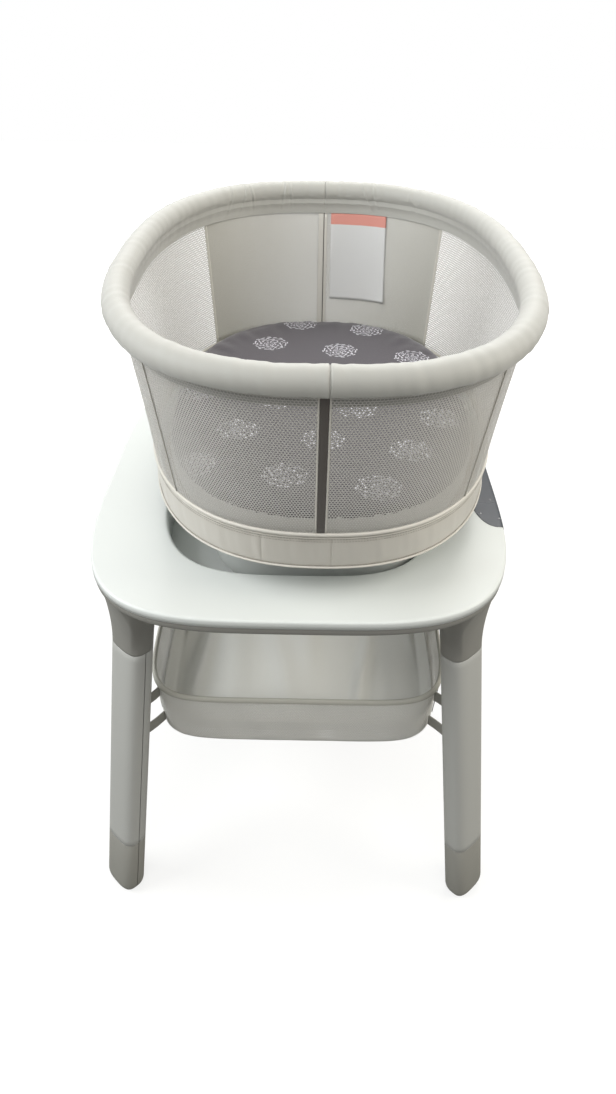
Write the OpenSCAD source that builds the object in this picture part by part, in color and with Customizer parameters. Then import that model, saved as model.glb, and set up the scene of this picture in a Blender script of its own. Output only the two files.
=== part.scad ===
// Powered bassinet on a four-legged stand. A mesh-sided tub rides on a pedestal that sways
// across the stand and lifts up and down, and a fabric storage basket hangs between the legs.
// X runs across the tub, Y along it and Z up, from the floor under the middle of the deck.

/* [Deck] */
// Half of the deck's width
deck_half_w = 282; // [262:1:300]
// Half of the deck's length
deck_half_l = 357; // [340:1:385]
// Squareness of the deck's outline, where 2 is an ellipse
deck_power = 3.9; // [3.4:0.1:4.6]
// Height of the deck's top above the floor
deck_z = 560; // [520:1:620]
// Wall of the moulded deck parts
deck_wall = 3; // [2.4:0.2:3.6]
// Depth of the lip round the deck's edge
lip_h = 11; // [9:0.5:14]
// Depth of the lower shell's rim
apron_h = 10; // [8:0.5:14]
// Parting gap between the lip and the lower shell
part_gap = 0.6; // [0.3:0.1:0.9]

/* [Well] */
// Half of the well's width
well_half_w = 187; // [185:0.5:196]
// Half of the well's length
well_half_l = 265; // [258:1:275]
// Squareness of the well, the pedestal and the drive tray
well_power = 3.5; // [3.2:0.1:4]
// Depth of the well's wall below the deck's top
well_depth = 48; // [44:1:50]
// Depth of the drive tray's floor below the deck's top
tray_depth = 101.6; // [100:0.2:112]
// Step that narrows the lower tray along its length
tray_step = 20; // [17:0.5:24]

/* [Control panel] */
// Half of the panel's length
panel_half_l = 152; // [120:1:170]
// Width of the panel from the deck's edge inwards
panel_w = 44; // [38:1:56]
// Thickness of the panel
panel_t = 5; // [4:0.5:6]
// Radius of an indicator window
window_r = 2; // [1.5:0.1:2.5]

/* [Legs] */
// Height of the seam between a socket and its leg
neck_z = 440; // [420:1:460]
// Height of the seam between a leg and its foot
foot_seam_z = 100; // [80:1:130]
// Half of the leg's section along the deck's corner
leg_half_t = 31; // [27:0.5:33]
// Half of the leg's section across the deck's corner
leg_half_r = 20; // [18:0.5:21]
// Squareness of the leg's section
leg_power = 3; // [2.4:0.1:3.6]
// Distance of the leg's neck inside the deck's corner, across
leg_inset_w = 16; // [13:1:20]
// Distance of the leg's neck inside the deck's corner, along
leg_inset_l = 35; // [30:1:40]
// How far a leg spreads outwards from its neck to the floor, across
splay_w = 47; // [38:1:60]
// How far a leg spreads outwards from its neck to the floor, along
splay_l = 67; // [40:1:76]
// Wall of a leg and of a socket
leg_wall = 4; // [3:0.25:5]
// Height of the leg's spigot inside its socket
spigot_h = 62; // [54:1:72]
// Reach of the socket's flare under the deck
flare_w = 42; // [36:1:50]
// Radius of the snap button
button_r = 6; // [4.5:0.25:7]
// Travel of the snap button
button_travel = 5; // [4:0.25:6]

/* [Tub] */
// Distance of the tub from the deck's centre at rest
tub_shift = 27; // [14:0.5:29]
// Gap between the deck's top and the tub's pan
tub_rise = 40; // [36:1:55]
// Half of the band's width
band_half_w = 229; // [224:0.5:236]
// Half of the band's length at its lower edge
band_half_l = 314; // [304:1:320]
// Gain in half length over the band's height
band_flare = 8; // [5:1:16]
// Height of the fabric band
band_h = 51; // [44:1:54]
// Height of the band's lower edge above the pan's
band_lift = 7; // [5:0.5:9]
// Half of the rim tube's width at its centre line
rim_half_w = 249.4; // [244:0.5:256]
// Half of the rim tube's length at its centre line
rim_half_l = 383; // [372:1:390]
// Height of the rim tube above the pan's lower edge
rim_rise = 273; // [255:1:285]
// Squareness of the band
band_power = 2.35; // [2.2:0.05:2.6]
// Squareness of the rim
rim_power = 2.5; // [2.3:0.05:2.8]
// Radius of the padded rim
rim_r = 15.6; // [14.5:0.1:17]
// Radius of the rim tube
tube_r = 9.5; // [8:0.25:10]
// Wall of the rim tube
tube_wall = 1.5; // [1:0.1:2]
// Thickness of the padding and fabric round the tube
pad_t = 4.4; // [3.8:0.1:5]
// Length of the inner facing below the padded rim
skirt_h = 30; // [26:1:36]
// Length of the outer facing below the padded rim
lap_h = 3; // [2:0.5:6]
// Thickness of the mesh fabric
mesh_t = 1.6; // [1.2:0.1:2]
// Thickness of the band's fabric
band_t = 3; // [2:0.25:3.5]
// Radius of the band's piping
piping_r = 2.6; // [2:0.1:3]
// Wall of the tub's pan
pan_wall = 3; // [2.4:0.2:4]
// Width of an end strut
strut_w = 9; // [7:0.5:12]
// Thickness of an end strut
strut_t = 2.3; // [1.6:0.1:2.4]
// Angle of the corner seams round the oval
seam_angle = 44; // [36:1:52]

/* [Mattress] */
// Thickness of the mattress
mattress_t = 58; // [50:1:60]
// Room between the mattress's side and the band's upper edge
mattress_room_w = 19; // [15:1:29]
// Room between the mattress's end and the band's upper edge
mattress_room_l = 11; // [11:1:22]
// Thickness of the support board
board_t = 6; // [4:0.5:8]
// Thickness of the fitted sheet
sheet_t = 1.2; // [0.8:0.1:1.6]
// Width of the blank care tag
tag_w = 92; // [60:1:100]
// Height of the blank care tag
tag_h = 132; // [90:1:140]

/* [Drive] */
// Half of the pedestal's width
pedestal_half_w = 153; // [147:0.5:155]
// Half of the pedestal's length
pedestal_half_l = 250; // [240:1:250]
// Depth of the pedestal's wall below the pan's lower edge
pedestal_drop = 70; // [66:1:70]
// Radius of a slide rail
rail_r = 5; // [4:0.25:6]
// Distance of a slide rail from the middle
rail_y = 100; // [80:1:110]
// Radius of a guide post
post_r = 6; // [5:0.25:7]
// Distance of a guide post from the middle
post_y = 124; // [116:1:140]
// Radius of the lift screw
screw_r = 4; // [3.25:0.25:5]
// Radius of a belt pulley
pulley_r = 8; // [7:0.25:9]
// Distance of a pulley from the middle
pulley_x = 115; // [105:1:125]
// Distance of the belt from the middle
belt_y = 162; // [160:1:166]
// Running clearance of a shaft in its bore, on the radius
running = 0.05; // [0.03:0.01:0.08]
// Thickness of the carriage plate
plate_t = 6; // [5:0.5:8]

/* [Basket] */
// Height of the basket's hem above the floor
basket_hem_z = 340; // [320:1:370]
// Height of the basket's floor above the floor
basket_floor_z = 250; // [230:1:270]
// Half of the basket's width at its hem
basket_half_w = 216; // [205:1:220]
// Half of the basket's length at its hem
basket_half_l = 272; // [260:1:276]
// Thickness of the basket's fabric
basket_t = 2; // [1.4:0.2:2.6]
// Radius of the basket's bound hem
hem_r = 4; // [3:0.25:5]
// Width of a basket strap
strap_w = 18; // [12:1:24]

/* [Hidden] */

shell_white = [0.83, 0.85, 0.82];
shell_grey = [0.72, 0.74, 0.71];
fabric_white = [0.86, 0.86, 0.82];
mesh_grey = [0.78, 0.76, 0.73];
steel = [0.7, 0.7, 0.72];
dark = [0.16, 0.17, 0.2];

fine = 72;            // points round a large oval
leg_n = 32;           // points round a leg
seat = 0.3;           // gap between pieces that sit on each other
slip = 0.4;           // gap between pieces that slide into each other
sharp = 0.01;         // smallest step that keeps two rings apart

// Heights from the deck down
lip_z = deck_z - lip_h;
shell_z = lip_z - part_gap;
apron_z = shell_z - apron_h;
shell_inset = 1.2;
flange_z = apron_z + deck_wall;
well_z = deck_z - well_depth;
tray_in_w = well_half_w + deck_wall + 0.6;
tray_in_l = well_half_l + deck_wall + 0.6;
tray_z = deck_z - tray_depth;
tray_top = tray_z + deck_wall;
step_z = well_z - deck_wall - 1;
lower_in_l = tray_in_l - tray_step;
flange_w = 10;

// Control panel
panel_power = 3;
ledge = 4;
window_at = [[10, 82], [29, 118], [5, 130]];

// Leg geometry
corner_k = pow(0.5, 1 / deck_power);
leg_x = deck_half_w * corner_k - leg_inset_w;
leg_y = deck_half_l * corner_k - leg_inset_l;
leg_turn = 45;
button_z = neck_z + 28;
spigot_z = neck_z + spigot_h;
foot_edge = 12;

// Tub heights and rings
pan_z = deck_z + tub_rise;
pan_floor_z = pan_z + 12;
band_z = pan_z + band_lift;
band_top_z = band_z + band_h;
pan_top_z = band_top_z - 5;
rim_z = pan_z + rim_rise;
mesh_top_z = rim_z - rim_r + 1.5;
skirt_z = rim_z - rim_r - skirt_h + 14;
skirt_slit = 1.1;
board_z = pan_floor_z + pan_wall + seat;
mattress_z = board_z + board_t + seat;
mattress_top = mattress_z + mattress_t;
mattress_power = 2.4;
mattress_half_w = band_half_w - mattress_room_w;
mattress_half_l = band_half_l + band_flare - mattress_room_l;

// Drive heights
rail_z = tray_top + 12.6;
belt_t = 1.2;
belt_w = 6;
belt_top = rail_z + pulley_r + belt_t + 0.15;
plate_z = belt_top + 2.6;
plate_top = plate_z + plate_t;
plate_half_w = 100;
plate_half_l = belt_y + 6;
bush_x = 70;
bush_l = 20;
bush_r = rail_r + 3;
pillar_x = tray_in_w - 22;
pillar_t = 10;
cap_z = pan_z - pedestal_drop;
cap_wall = 3;
cap_top = 4;
lift_travel = 19;
lift_slot_w = 55;       // half width of the slot in the well's floor
lift_slot_l = post_y + post_r + 10;
floor_t = 2;            // thickness of the well's floor
main_board_w = 90;
main_board_l = 56;
motor_h = 34;
post_top = pan_floor_z - cap_top - lift_travel - 3;
tub_screw_x = 110;
tub_screw_y = 180;

seam_gap = 0.12;      // half of the gap at a corner seam, in degrees round the oval

// Basket
basket_power = 7;
basket_taper = 6;

// Points of an oval |x/a|^n + |y/b|^n = 1
function spow(v, e) = sign(v) * pow(abs(v), e);
function oval(a, b, n, m = fine) = [for (i = [0:m - 1]) let (t = 360 * i / m)
    [a * spow(cos(t), 2 / n), b * spow(sin(t), 2 / n)]];
function oval_at(a, b, n, t) = [a * spow(cos(t), 2 / n), b * spow(sin(t), 2 / n)];
function ring(a, b, n, z, dx = 0, m = fine) = [for (p = oval(a, b, n, m)) [p[0] + dx, p[1], z]];
function mix(a, b, t) = a + (b - a) * t;
function clip(v, lo, hi) = max(lo, min(hi, v));

// Distance from a point inside an oval to its edge, by halving the interval
function reach(p, d, a, b, n, lo = 0, hi = 600, k = 0) = k > 26 ? (lo + hi) / 2 :
    let (s = (lo + hi) / 2, q = p + s * d)
    pow(abs(q[0]) / a, n) + pow(abs(q[1]) / b, n) < 1
        ? reach(p, d, a, b, n, s, hi, k + 1)
        : reach(p, d, a, b, n, lo, s, k + 1);

// A closed skin through rings of equal count. A looped one joins its last ring to its first.
module loft(rings, looped = false) {
    m = len(rings[0]);
    k = len(rings);
    sides = [for (j = [0:k - (looped ? 1 : 2)]) for (i = [0:m - 1])
        let (u = (j + 1) % k, v = (i + 1) % m)
        each [[j * m + i, u * m + i, u * m + v], [j * m + i, u * m + v, j * m + v]]];
    caps = looped ? [] : [[for (i = [0:m - 1]) i], [for (i = [0:m - 1]) k * m - 1 - i]];
    polyhedron(points = [for (r = rings) each r], faces = concat(caps, sides), convexity = 8);
}

// A skin with a hole along it, between outer and inner rings of equal count
module pipe(outer, inner) {
    m = len(outer[0]);
    k = len(outer);
    o = k * m;
    last = (k - 1) * m;
    skins = [for (j = [0:k - 2]) for (i = [0:m - 1]) let (v = (i + 1) % m)
        let (a = j * m + i, b = a + m, c = j * m + v + m, d = j * m + v)
        each [[a, b, c], [a, c, d], [o + d, o + c, o + b], [o + d, o + b, o + a]]];
    ends = [for (i = [0:m - 1]) let (v = (i + 1) % m)
        each [[i, v, o + v], [i, o + v, o + i],
              [o + last + i, o + last + v, last + v], [o + last + i, last + v, last + i]]];
    polyhedron(points = concat([for (r = outer) each r], [for (r = inner) each r]),
        faces = concat(skins, ends), convexity = 8);
}

// An oval plate or ring cut straight up
module oval_plate(a, b, n, z, h, dx = 0) {
    translate([dx, 0, z]) linear_extrude(h) polygon(oval(a, b, n));
}

module oval_wall(a, b, n, z, h, t, dx = 0) {
    translate([dx, 0, z]) linear_extrude(h) difference() {
        polygon(oval(a, b, n));
        polygon(oval(a - t, b - t, n));
    }
}

module panel_outline(gap) {
    intersection() {
        polygon(oval(deck_half_w, deck_half_l, deck_power));
        translate([deck_half_w, 0]) polygon(oval(panel_w + gap, panel_half_l + gap, panel_power));
    }
}

// Ring of the deck's outline drawn in by a distance
function deck_ring(inset, z) = ring(deck_half_w - inset, deck_half_l - inset, deck_power, z);
function well_ring(inset, z) = ring(well_half_w + inset, well_half_l + inset, well_power, z);

// ---- Stand -------------------------------------------------------------------------------

// Table-like top moulding: rounded edge, flat top, and a well with a soft lip
module deck_top() {
    color(shell_white) {
        difference() {
            loft([
                deck_ring(0, lip_z), deck_ring(0, deck_z - 3.6), deck_ring(0.6, deck_z - 1.6),
                deck_ring(1.8, deck_z - 0.4), deck_ring(3.6, deck_z),
                well_ring(3, deck_z), well_ring(0.9, deck_z - 0.8), well_ring(0, deck_z - 3),
                well_ring(0, well_z), well_ring(deck_wall, well_z),
                well_ring(deck_wall, deck_z - deck_wall - 1),
                deck_ring(deck_wall, deck_z - deck_wall - 1), deck_ring(deck_wall, lip_z)
            ], looped = true);
            translate([0, 0, deck_z - panel_t]) linear_extrude(2 * panel_t) panel_outline(seat);
        }
        panel_ledge();
    }
}

// Ledge that carries the control panel, with a window for its board
module panel_ledge() {
    translate([0, 0, deck_z - panel_t - 2]) linear_extrude(2) difference() {
        intersection() {
            polygon(oval(deck_half_w - deck_wall, deck_half_l - deck_wall, deck_power));
            translate([deck_half_w, 0])
                polygon(oval(panel_w + ledge, panel_half_l + ledge, panel_power));
        }
        translate([deck_half_w - panel_w / 2 - 2, 0]) square([16, panel_half_l], center = true);
    }
}

module touch_panel() {
    color(dark) difference() {
        translate([0, 0, deck_z - panel_t]) linear_extrude(panel_t) panel_outline(0);
        for (w = window_at, s = [-1, 1])
            translate([deck_half_w - w[0], s * w[1], deck_z - panel_t - 1])
                cylinder(r = window_r + running, h = panel_t + 2, $fn = 24);
    }
}

module indicator_windows() {
    color([0.05, 0.05, 0.06]) for (w = window_at, s = [-1, 1])
        translate([deck_half_w - w[0], s * w[1], deck_z - panel_t])
            cylinder(r = window_r, h = panel_t, $fn = 24);
}

// Touch sensor board glued under the panel, in the ledge's window
module panel_board() {
    color([0.1, 0.35, 0.2])
        translate([deck_half_w - panel_w / 2 - 2 - 7, -panel_half_l / 2 + 3, deck_z - panel_t - 2])
            cube([14, panel_half_l - 6, 1.8]);
}

// Centre of a leg's section at a height, for the leg at the corner of signs sx and sy
function leg_at(z, sx, sy) = [
    sx * (leg_x + splay_w * (neck_z - z) / neck_z),
    sy * (leg_y + splay_l * (neck_z - z) / neck_z)];
// Direction from the leg's centre outwards across the deck's corner
function outward(sx, sy) = [sx * cos(leg_turn), sy * sin(leg_turn)];
// Ring of a leg's section, smaller by an inset
function leg_ring(z, inset, sx, sy) = let (
    c = leg_at(z, sx, sy), o = outward(sx, sy), t = [-o[1], o[0]])
    [for (p = oval(leg_half_t - inset, leg_half_r - inset, leg_power, leg_n))
        [c[0] + p[0] * t[0] - p[1] * o[0], c[1] + p[0] * t[1] - p[1] * o[1], z]];

// Ring of a socket: the leg's section at the neck, which flares out to the deck's edge
function socket_ring(f, inset, sx, sy) = let (
    z = mix(neck_z, apron_z + deck_wall / 2, f),
    c = leg_at(z, sx, sy),
    base = leg_ring(z, inset, sx, sy))
    [for (q = base) let (
        v = [q[0] - c[0], q[1] - c[1]],
        r = norm(v),
        d = v / r,
        out = clip(0.5 + 0.8 * (d * outward(sx, sy)), 0, 1),
        far = min(r + flare_w, reach(c, d, deck_half_w - shell_inset - 0.4 - inset,
            deck_half_l - shell_inset - 0.4 - inset, deck_power)),
        s = mix(r, far, pow(f, mix(4.5, 1.25, out))))
        [c[0] + d[0] * s, c[1] + d[1] * s, z]];

// Floor of the well: it lies on the tray's end shelves under the well's wall, and the lift
// passes through its slot, which the pedestal always covers
module well_floor() {
    half_w = tray_in_w - slip;
    half_l = tray_in_l - slip;
    low = step_z + seat;
    color(shell_white) difference() {
        union() {
            oval_plate(half_w, half_l, well_power, low, floor_t);
            oval_wall(half_w, half_l, well_power, low, well_z - seat - low, deck_wall);
        }
        translate([-lift_slot_w, -lift_slot_l, low - 1])
            cube([2 * lift_slot_w, 2 * lift_slot_l, floor_t + 2]);
    }
}

// Lower shell: rim, floor with the tray's opening, and four flared leg sockets
module deck_shell() {
    steps = [0, 0.25, 0.5, 0.68, 0.82, 0.92, 1];
    color(shell_grey) difference() {
        union() {
            loft([
                deck_ring(shell_inset + 2.5, apron_z), deck_ring(shell_inset, apron_z + 2.5),
                deck_ring(shell_inset, shell_z), deck_ring(shell_inset + deck_wall, shell_z),
                deck_ring(shell_inset + deck_wall, flange_z),
                ring(tray_in_w + deck_wall + slip, tray_in_l + deck_wall + slip, well_power, flange_z),
                ring(tray_in_w + deck_wall + slip, tray_in_l + deck_wall + slip, well_power, apron_z)
            ], looped = true);
            for (sx = [-1, 1], sy = [-1, 1]) loft(concat(
                [for (f = steps) socket_ring(f, 0, sx, sy)],
                [for (i = [len(steps) - 1:-1:0]) socket_ring(steps[i], leg_wall, sx, sy)]
            ), looped = true);
        }
        oval_plate(tray_in_w + deck_wall + slip, tray_in_l + deck_wall + slip, well_power,
            neck_z, deck_z - neck_z);
        for (sx = [-1, 1], sy = [-1, 1]) button_bore(button_r + seat, sx, sy);
        for (i = [0:7]) tray_screw_at(i) cylinder(r = 2, h = 20, center = true, $fn = 24);
    }
}

// A round bar on the snap button's line, from inside the leg to beyond its socket
module button_bore(r, sx, sy) {
    c = leg_at(button_z, sx, sy);
    translate([c[0], c[1], button_z]) rotate([0, 0, atan2(-sy, -sx)]) rotate([0, 90, 0])
        cylinder(r = r, h = leg_half_r + 8, $fn = 32);
}

module leg(sx, sy) {
    tight = leg_wall + slip;
    color(shell_white) difference() {
        loft([
            leg_ring(foot_seam_z + seat, 0, sx, sy), leg_ring(neck_z - seat, 0, sx, sy),
            leg_ring(neck_z - seat + sharp, tight, sx, sy), leg_ring(spigot_z, tight, sx, sy),
            leg_ring(spigot_z + sharp, tight + leg_wall, sx, sy),
            leg_ring(foot_seam_z + seat, tight + leg_wall, sx, sy)
        ], looped = true);
        button_bore(button_r + seat, sx, sy);
    }
}

module leg_front_left() leg(-1, -1);
module leg_front_right() leg(1, -1);
module leg_rear_left() leg(-1, 1);
module leg_rear_right() leg(1, 1);

// Snap button: a round stem through the spigot and the socket, with a flange inside the leg
module snap_button(sx, sy) {
    c = leg_at(button_z, sx, sy);
    rim = button_r + 1.2;
    back = leg_half_r - 2 * leg_wall - slip - seat - rim * norm([splay_w, splay_l]) / neck_z;
    color(shell_grey) translate([c[0], c[1], button_z]) rotate([0, 0, atan2(-sy, -sx)])
        rotate([0, 90, 0]) {
            translate([0, 0, back - 2]) cylinder(r = rim, h = 2, $fn = 32);
            translate([0, 0, back]) cylinder(r = button_r, h = leg_half_r + 2.5 - back, $fn = 32);
        }
}

module button_front_left() snap_button(-1, -1);
module button_front_right() snap_button(1, -1);
module button_rear_left() snap_button(-1, 1);
module button_rear_right() snap_button(1, 1);

// Rounded foot caps that plug into the legs
module foot_caps() {
    plug = 2 * leg_wall + 2 * slip;
    color(shell_grey) for (sx = [-1, 1], sy = [-1, 1]) loft([
        leg_ring(0, 9, sx, sy), leg_ring(foot_edge * 0.15, 5, sx, sy),
        leg_ring(foot_edge * 0.5, 1.8, sx, sy), leg_ring(foot_edge, 0, sx, sy),
        leg_ring(foot_seam_z, 0, sx, sy),
        leg_ring(foot_seam_z + sharp, plug, sx, sy), leg_ring(foot_seam_z + 20, plug, sx, sy)
    ]);
}

// Place of a screw in the tray's flange
module tray_screw_at(i) {
    p = oval_at(tray_in_w + deck_wall + flange_w / 2, tray_in_l + deck_wall + flange_w / 2,
        well_power, 45 * i + 22.5);
    translate([p[0], p[1], flange_z]) children();
}

// Tray under the well that holds the sway drive: a flange, a wall, a step and a floor
module drive_tray() {
    out_w = tray_in_w + deck_wall;
    out_l = tray_in_l + deck_wall;
    color(shell_grey) {
        difference() {
            union() {
                oval_wall(out_w + flange_w, out_l + flange_w, well_power, flange_z, deck_wall,
                    flange_w + deck_wall);
                oval_wall(out_w, out_l, well_power, step_z, flange_z - step_z, deck_wall);
                translate([0, 0, step_z - deck_wall]) linear_extrude(deck_wall) difference() {
                    polygon(oval(out_w, out_l, well_power));
                    polygon(oval(tray_in_w, lower_in_l, well_power));
                }
                translate([0, 0, tray_z]) linear_extrude(step_z - tray_z - deck_wall) difference() {
                    polygon(oval(out_w, lower_in_l + deck_wall, well_power));
                    polygon(oval(tray_in_w, lower_in_l, well_power));
                }
                oval_plate(out_w, lower_in_l + deck_wall, well_power, tray_z, deck_wall);
            }
            for (i = [0:7]) tray_screw_at(i) cylinder(r = 2, h = 20, center = true, $fn = 24);
            inlet_axis() translate([0, 0, -12]) cylinder(r = 6.2, h = 24, $fn = 32);
            for (i = [0:5]) speaker_at() rotate([0, 0, 60 * i]) translate([12, 0, -10])
                cylinder(r = 2, h = 20, $fn = 24);
        }
        for (sx = [-1, 1], sy = [-1, 1]) rail_pillar(sx, sy);
        idler_bracket();
        for (y = [12, 34]) translate([-pulley_x - 10, -belt_y - 10 - y, tray_top - 1]) difference() {
            cube([20, 4, 8]);
            translate([10, -1, rail_z - tray_top + 1]) rotate([-90, 0, 0])
                cylinder(r = 12.1, h = 6, $fn = 48);
        }
    }
}

module rail_pillar(sx, sy) {
    difference() {
        translate([sx * pillar_x - pillar_t / 2, sy * rail_y - 9, tray_top - 1])
            cube([pillar_t, 18, rail_z + rail_r + 5 - tray_top]);
        translate([sx * pillar_x, sy * rail_y, rail_z]) rotate([0, 90, 0])
            cylinder(r = rail_r + running, h = 2 * pillar_t, center = true, $fn = 48);
    }
}

// Bracket with the fixed pin that the idler pulley turns on
module idler_bracket() {
    translate([pulley_x - 8, -belt_y + belt_w / 2 + 5, tray_top - 1]) cube([16, 4, rail_z - tray_top + 7]);
    translate([pulley_x, -belt_y + belt_w / 2 + 6, rail_z]) rotate([90, 0, 0])
        cylinder(r = 3, h = belt_w + 10, $fn = 32);
}

module case_screws() {
    color(steel) for (i = [0:7]) tray_screw_at(i) {
        translate([0, 0, deck_wall]) cylinder(r = 3.6, h = 2.2, $fn = 32);
        translate([0, 0, -deck_wall - 1.5]) cylinder(r = 1.9, h = 2 * deck_wall + 2, $fn = 24);
    }
}

// Line of the power inlet through the tray's rear wall, pointing outwards
module inlet_axis() {
    translate([0, lower_in_l + deck_wall, rail_z + 8]) rotate([-90, 0, 0]) children();
}

module power_inlet() {
    color(dark) inlet_axis() difference() {
        union() {
            translate([0, 0, seat]) cylinder(r = 9, h = 1.6, $fn = 48);
            translate([0, 0, -16]) cylinder(r = 6, h = 16 + seat, $fn = 48);
        }
        difference() {
            translate([0, 0, -11]) cylinder(r = 2.8, h = 14, $fn = 32);
            translate([0, 0, -12]) cylinder(r = 1, h = 11, $fn = 24);
        }
    }
}

module speaker_at() {
    translate([70, -0.76 * lower_in_l - 10, tray_top]) children();
}

module speaker() {
    color([0.2, 0.2, 0.22]) speaker_at() translate([0, 0, seat]) rotate_extrude($fn = 64)
        polygon([[8, 4], [20, 1], [23, 0], [25, 0], [25, 2], [14, 8], [12, 16], [0, 16], [0, 4]]);
}

// Control board on four standoffs
module main_board() {
    color([0.1, 0.35, 0.2]) translate([15 - main_board_w, 0.68 * lower_in_l, tray_top]) {
        translate([0, 0, 4]) cube([main_board_w, main_board_l, 1.6]);
        for (x = [5, main_board_w - 5], y = [5, main_board_l - 5]) translate([x, y, seat]) cylinder(r = 3, h = 4 - seat, $fn = 24);
        translate([12, 12, 5.6]) cube([18, 18, 2.5]);
        translate([45, 10, 5.6]) cube([26, 14, 7]);
        translate([50, 34, 5.6]) cylinder(r = 5, h = 9, $fn = 32);
    }
}

module sway_rails() {
    color(steel) for (s = [-1, 1]) translate([0, s * rail_y, rail_z]) rotate([0, 90, 0])
        cylinder(r = rail_r, h = 2 * pillar_x + pillar_t, center = true, $fn = 48);
}

module sway_motor() {
    color(steel) translate([-pulley_x, -belt_y - 8, rail_z]) rotate([90, 0, 0]) difference() {
        union() {
            cylinder(r = 12, h = 46, $fn = 64);
            translate([0, 0, 46]) cylinder(r = 5, h = 4, $fn = 32);
        }
        translate([0, 0, -1]) cylinder(r = 2.5 + running, h = 21, $fn = 32);
    }
}

// Toothless drive belt round both pulleys
module sway_belt() {
    r = pulley_r + 0.15;
    color(dark) translate([0, -belt_y + belt_w / 2, rail_z]) rotate([90, 0, 0])
        linear_extrude(belt_w) difference() {
            union() {
                square([2 * pulley_x, 2 * (r + belt_t)], center = true);
                for (s = [-1, 1]) translate([s * pulley_x, 0]) circle(r = r + belt_t, $fn = 64);
            }
            square([2 * pulley_x, 2 * r], center = true);
            for (s = [-1, 1]) translate([s * pulley_x, 0]) circle(r = r, $fn = 64);
        }
}

module pulley_body(bore) {
    difference() {
        union() {
            translate([0, 0, -belt_w / 2 - 0.3]) cylinder(r = pulley_r, h = belt_w + 0.6, $fn = 64);
            for (s = [-1, 1]) translate([0, 0, s * (belt_w / 2 + 0.8)])
                cylinder(r = pulley_r + 2.2, h = 1, center = true, $fn = 64);
        }
        if (bore > 0) cylinder(r = bore, h = 30, center = true, $fn = 32);
    }
}

module drive_pulley() {
    color(steel) translate([-pulley_x, -belt_y, rail_z]) rotate([90, 0, 0]) {
        pulley_body(0);
        cylinder(r = 2.5, h = 26, $fn = 32);
    }
}

module idler_pulley() {
    color(steel) translate([pulley_x, -belt_y, rail_z]) rotate([90, 0, 0]) pulley_body(3 + running);
}

// ---- Sway carriage -----------------------------------------------------------------------

// Plate with four bush housings that hangs on the rails
module carriage_plate() {
    color(shell_grey) difference() {
        union() {
            translate([tub_shift - plate_half_w, -plate_half_l, plate_z])
                cube([2 * plate_half_w, 2 * plate_half_l, plate_t]);
            for (sx = [-1, 1], sy = [-1, 1])
                translate([tub_shift + sx * bush_x - bush_l / 2, sy * rail_y - bush_r - 3, rail_z - bush_r - 2])
                    cube([bush_l, 2 * bush_r + 6, plate_z - rail_z + bush_r + 3]);
        }
        for (sy = [-1, 1]) translate([tub_shift, sy * rail_y, rail_z]) rotate([0, 90, 0])
            cylinder(r = bush_r + running, h = 4 * bush_x, center = true, $fn = 48);
        for (sy = [-1, 1]) translate([tub_shift, sy * post_y, plate_z - 1])
            cylinder(r = post_r + running, h = plate_t + 2, $fn = 48);
    }
}

module rail_bushes() {
    color([0.75, 0.62, 0.35]) for (sx = [-1, 1], sy = [-1, 1])
        translate([tub_shift + sx * bush_x, sy * rail_y, rail_z]) rotate([0, 90, 0]) difference() {
            cylinder(r = bush_r, h = bush_l, center = true, $fn = 48);
            cylinder(r = rail_r + running, h = bush_l + 2, center = true, $fn = 48);
        }
}

// C-shaped clamp that grips the belt's upper run
module belt_clamp() {
    gap = 0.3;
    run = rail_z + pulley_r + 0.15;
    color(dark) translate([tub_shift - 10, 0, 0]) difference() {
        translate([0, -plate_half_l, run - 4]) cube([20, 18, plate_z - run + 4]);
        translate([-1, -plate_half_l - 1, run - gap])
            cube([22, plate_half_l + 1 - belt_y + belt_w / 2 + gap, belt_t + 2 * gap]);
    }
}

module guide_posts() {
    color(steel) for (sy = [-1, 1]) translate([tub_shift, sy * post_y, plate_z])
        cylinder(r = post_r, h = post_top - plate_z, $fn = 48);
}

module lift_motor() {
    color(dark) translate([tub_shift, 0, plate_top]) difference() {
        translate([-21, -21, 0]) cube([42, 42, motor_h]);
        translate([0, 0, motor_h - 18]) cylinder(r = screw_r - 1 + running, h = 20, $fn = 32);
    }
}

module lift_screw() {
    color(steel) translate([tub_shift, 0, plate_top]) {
        translate([0, 0, motor_h - 17]) cylinder(r = screw_r - 1, h = 18, $fn = 32);
        translate([0, 0, motor_h + 0.5]) cylinder(r = screw_r, h = post_top - plate_top - motor_h, $fn = 32);
    }
}

// ---- Pedestal and tub --------------------------------------------------------------------

// Moving cover in the well that carries the tub
module pedestal_cap() {
    color(shell_white) difference() {
        union() {
            oval_wall(pedestal_half_w, pedestal_half_l, well_power, cap_z, pan_floor_z - cap_z,
                cap_wall, tub_shift);
            oval_plate(pedestal_half_w, pedestal_half_l, well_power, pan_floor_z - cap_top, cap_top,
                tub_shift);
            tub_screw_posts() translate([0, 0, -12]) cylinder(r = 6, h = 10, $fn = 32);
        }
        tub_screw_posts() translate([0, 0, -20]) cylinder(r = 1.6, h = 40, $fn = 24);
    }
}

module tub_screw_posts() {
    for (sx = [-1, 1], sy = [-1, 1])
        translate([tub_shift + sx * tub_screw_x, sy * tub_screw_y, pan_floor_z]) children();
}

module post_bushes() {
    color([0.75, 0.62, 0.35]) for (sy = [-1, 1]) translate([tub_shift, sy * post_y, 0]) difference() {
        translate([0, 0, cap_z + 2]) cylinder(r = post_r + 4, h = pan_floor_z - cap_top - cap_z - 2, $fn = 48);
        translate([0, 0, cap_z]) cylinder(r = post_r + running, h = 200, $fn = 48);
    }
}

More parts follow.
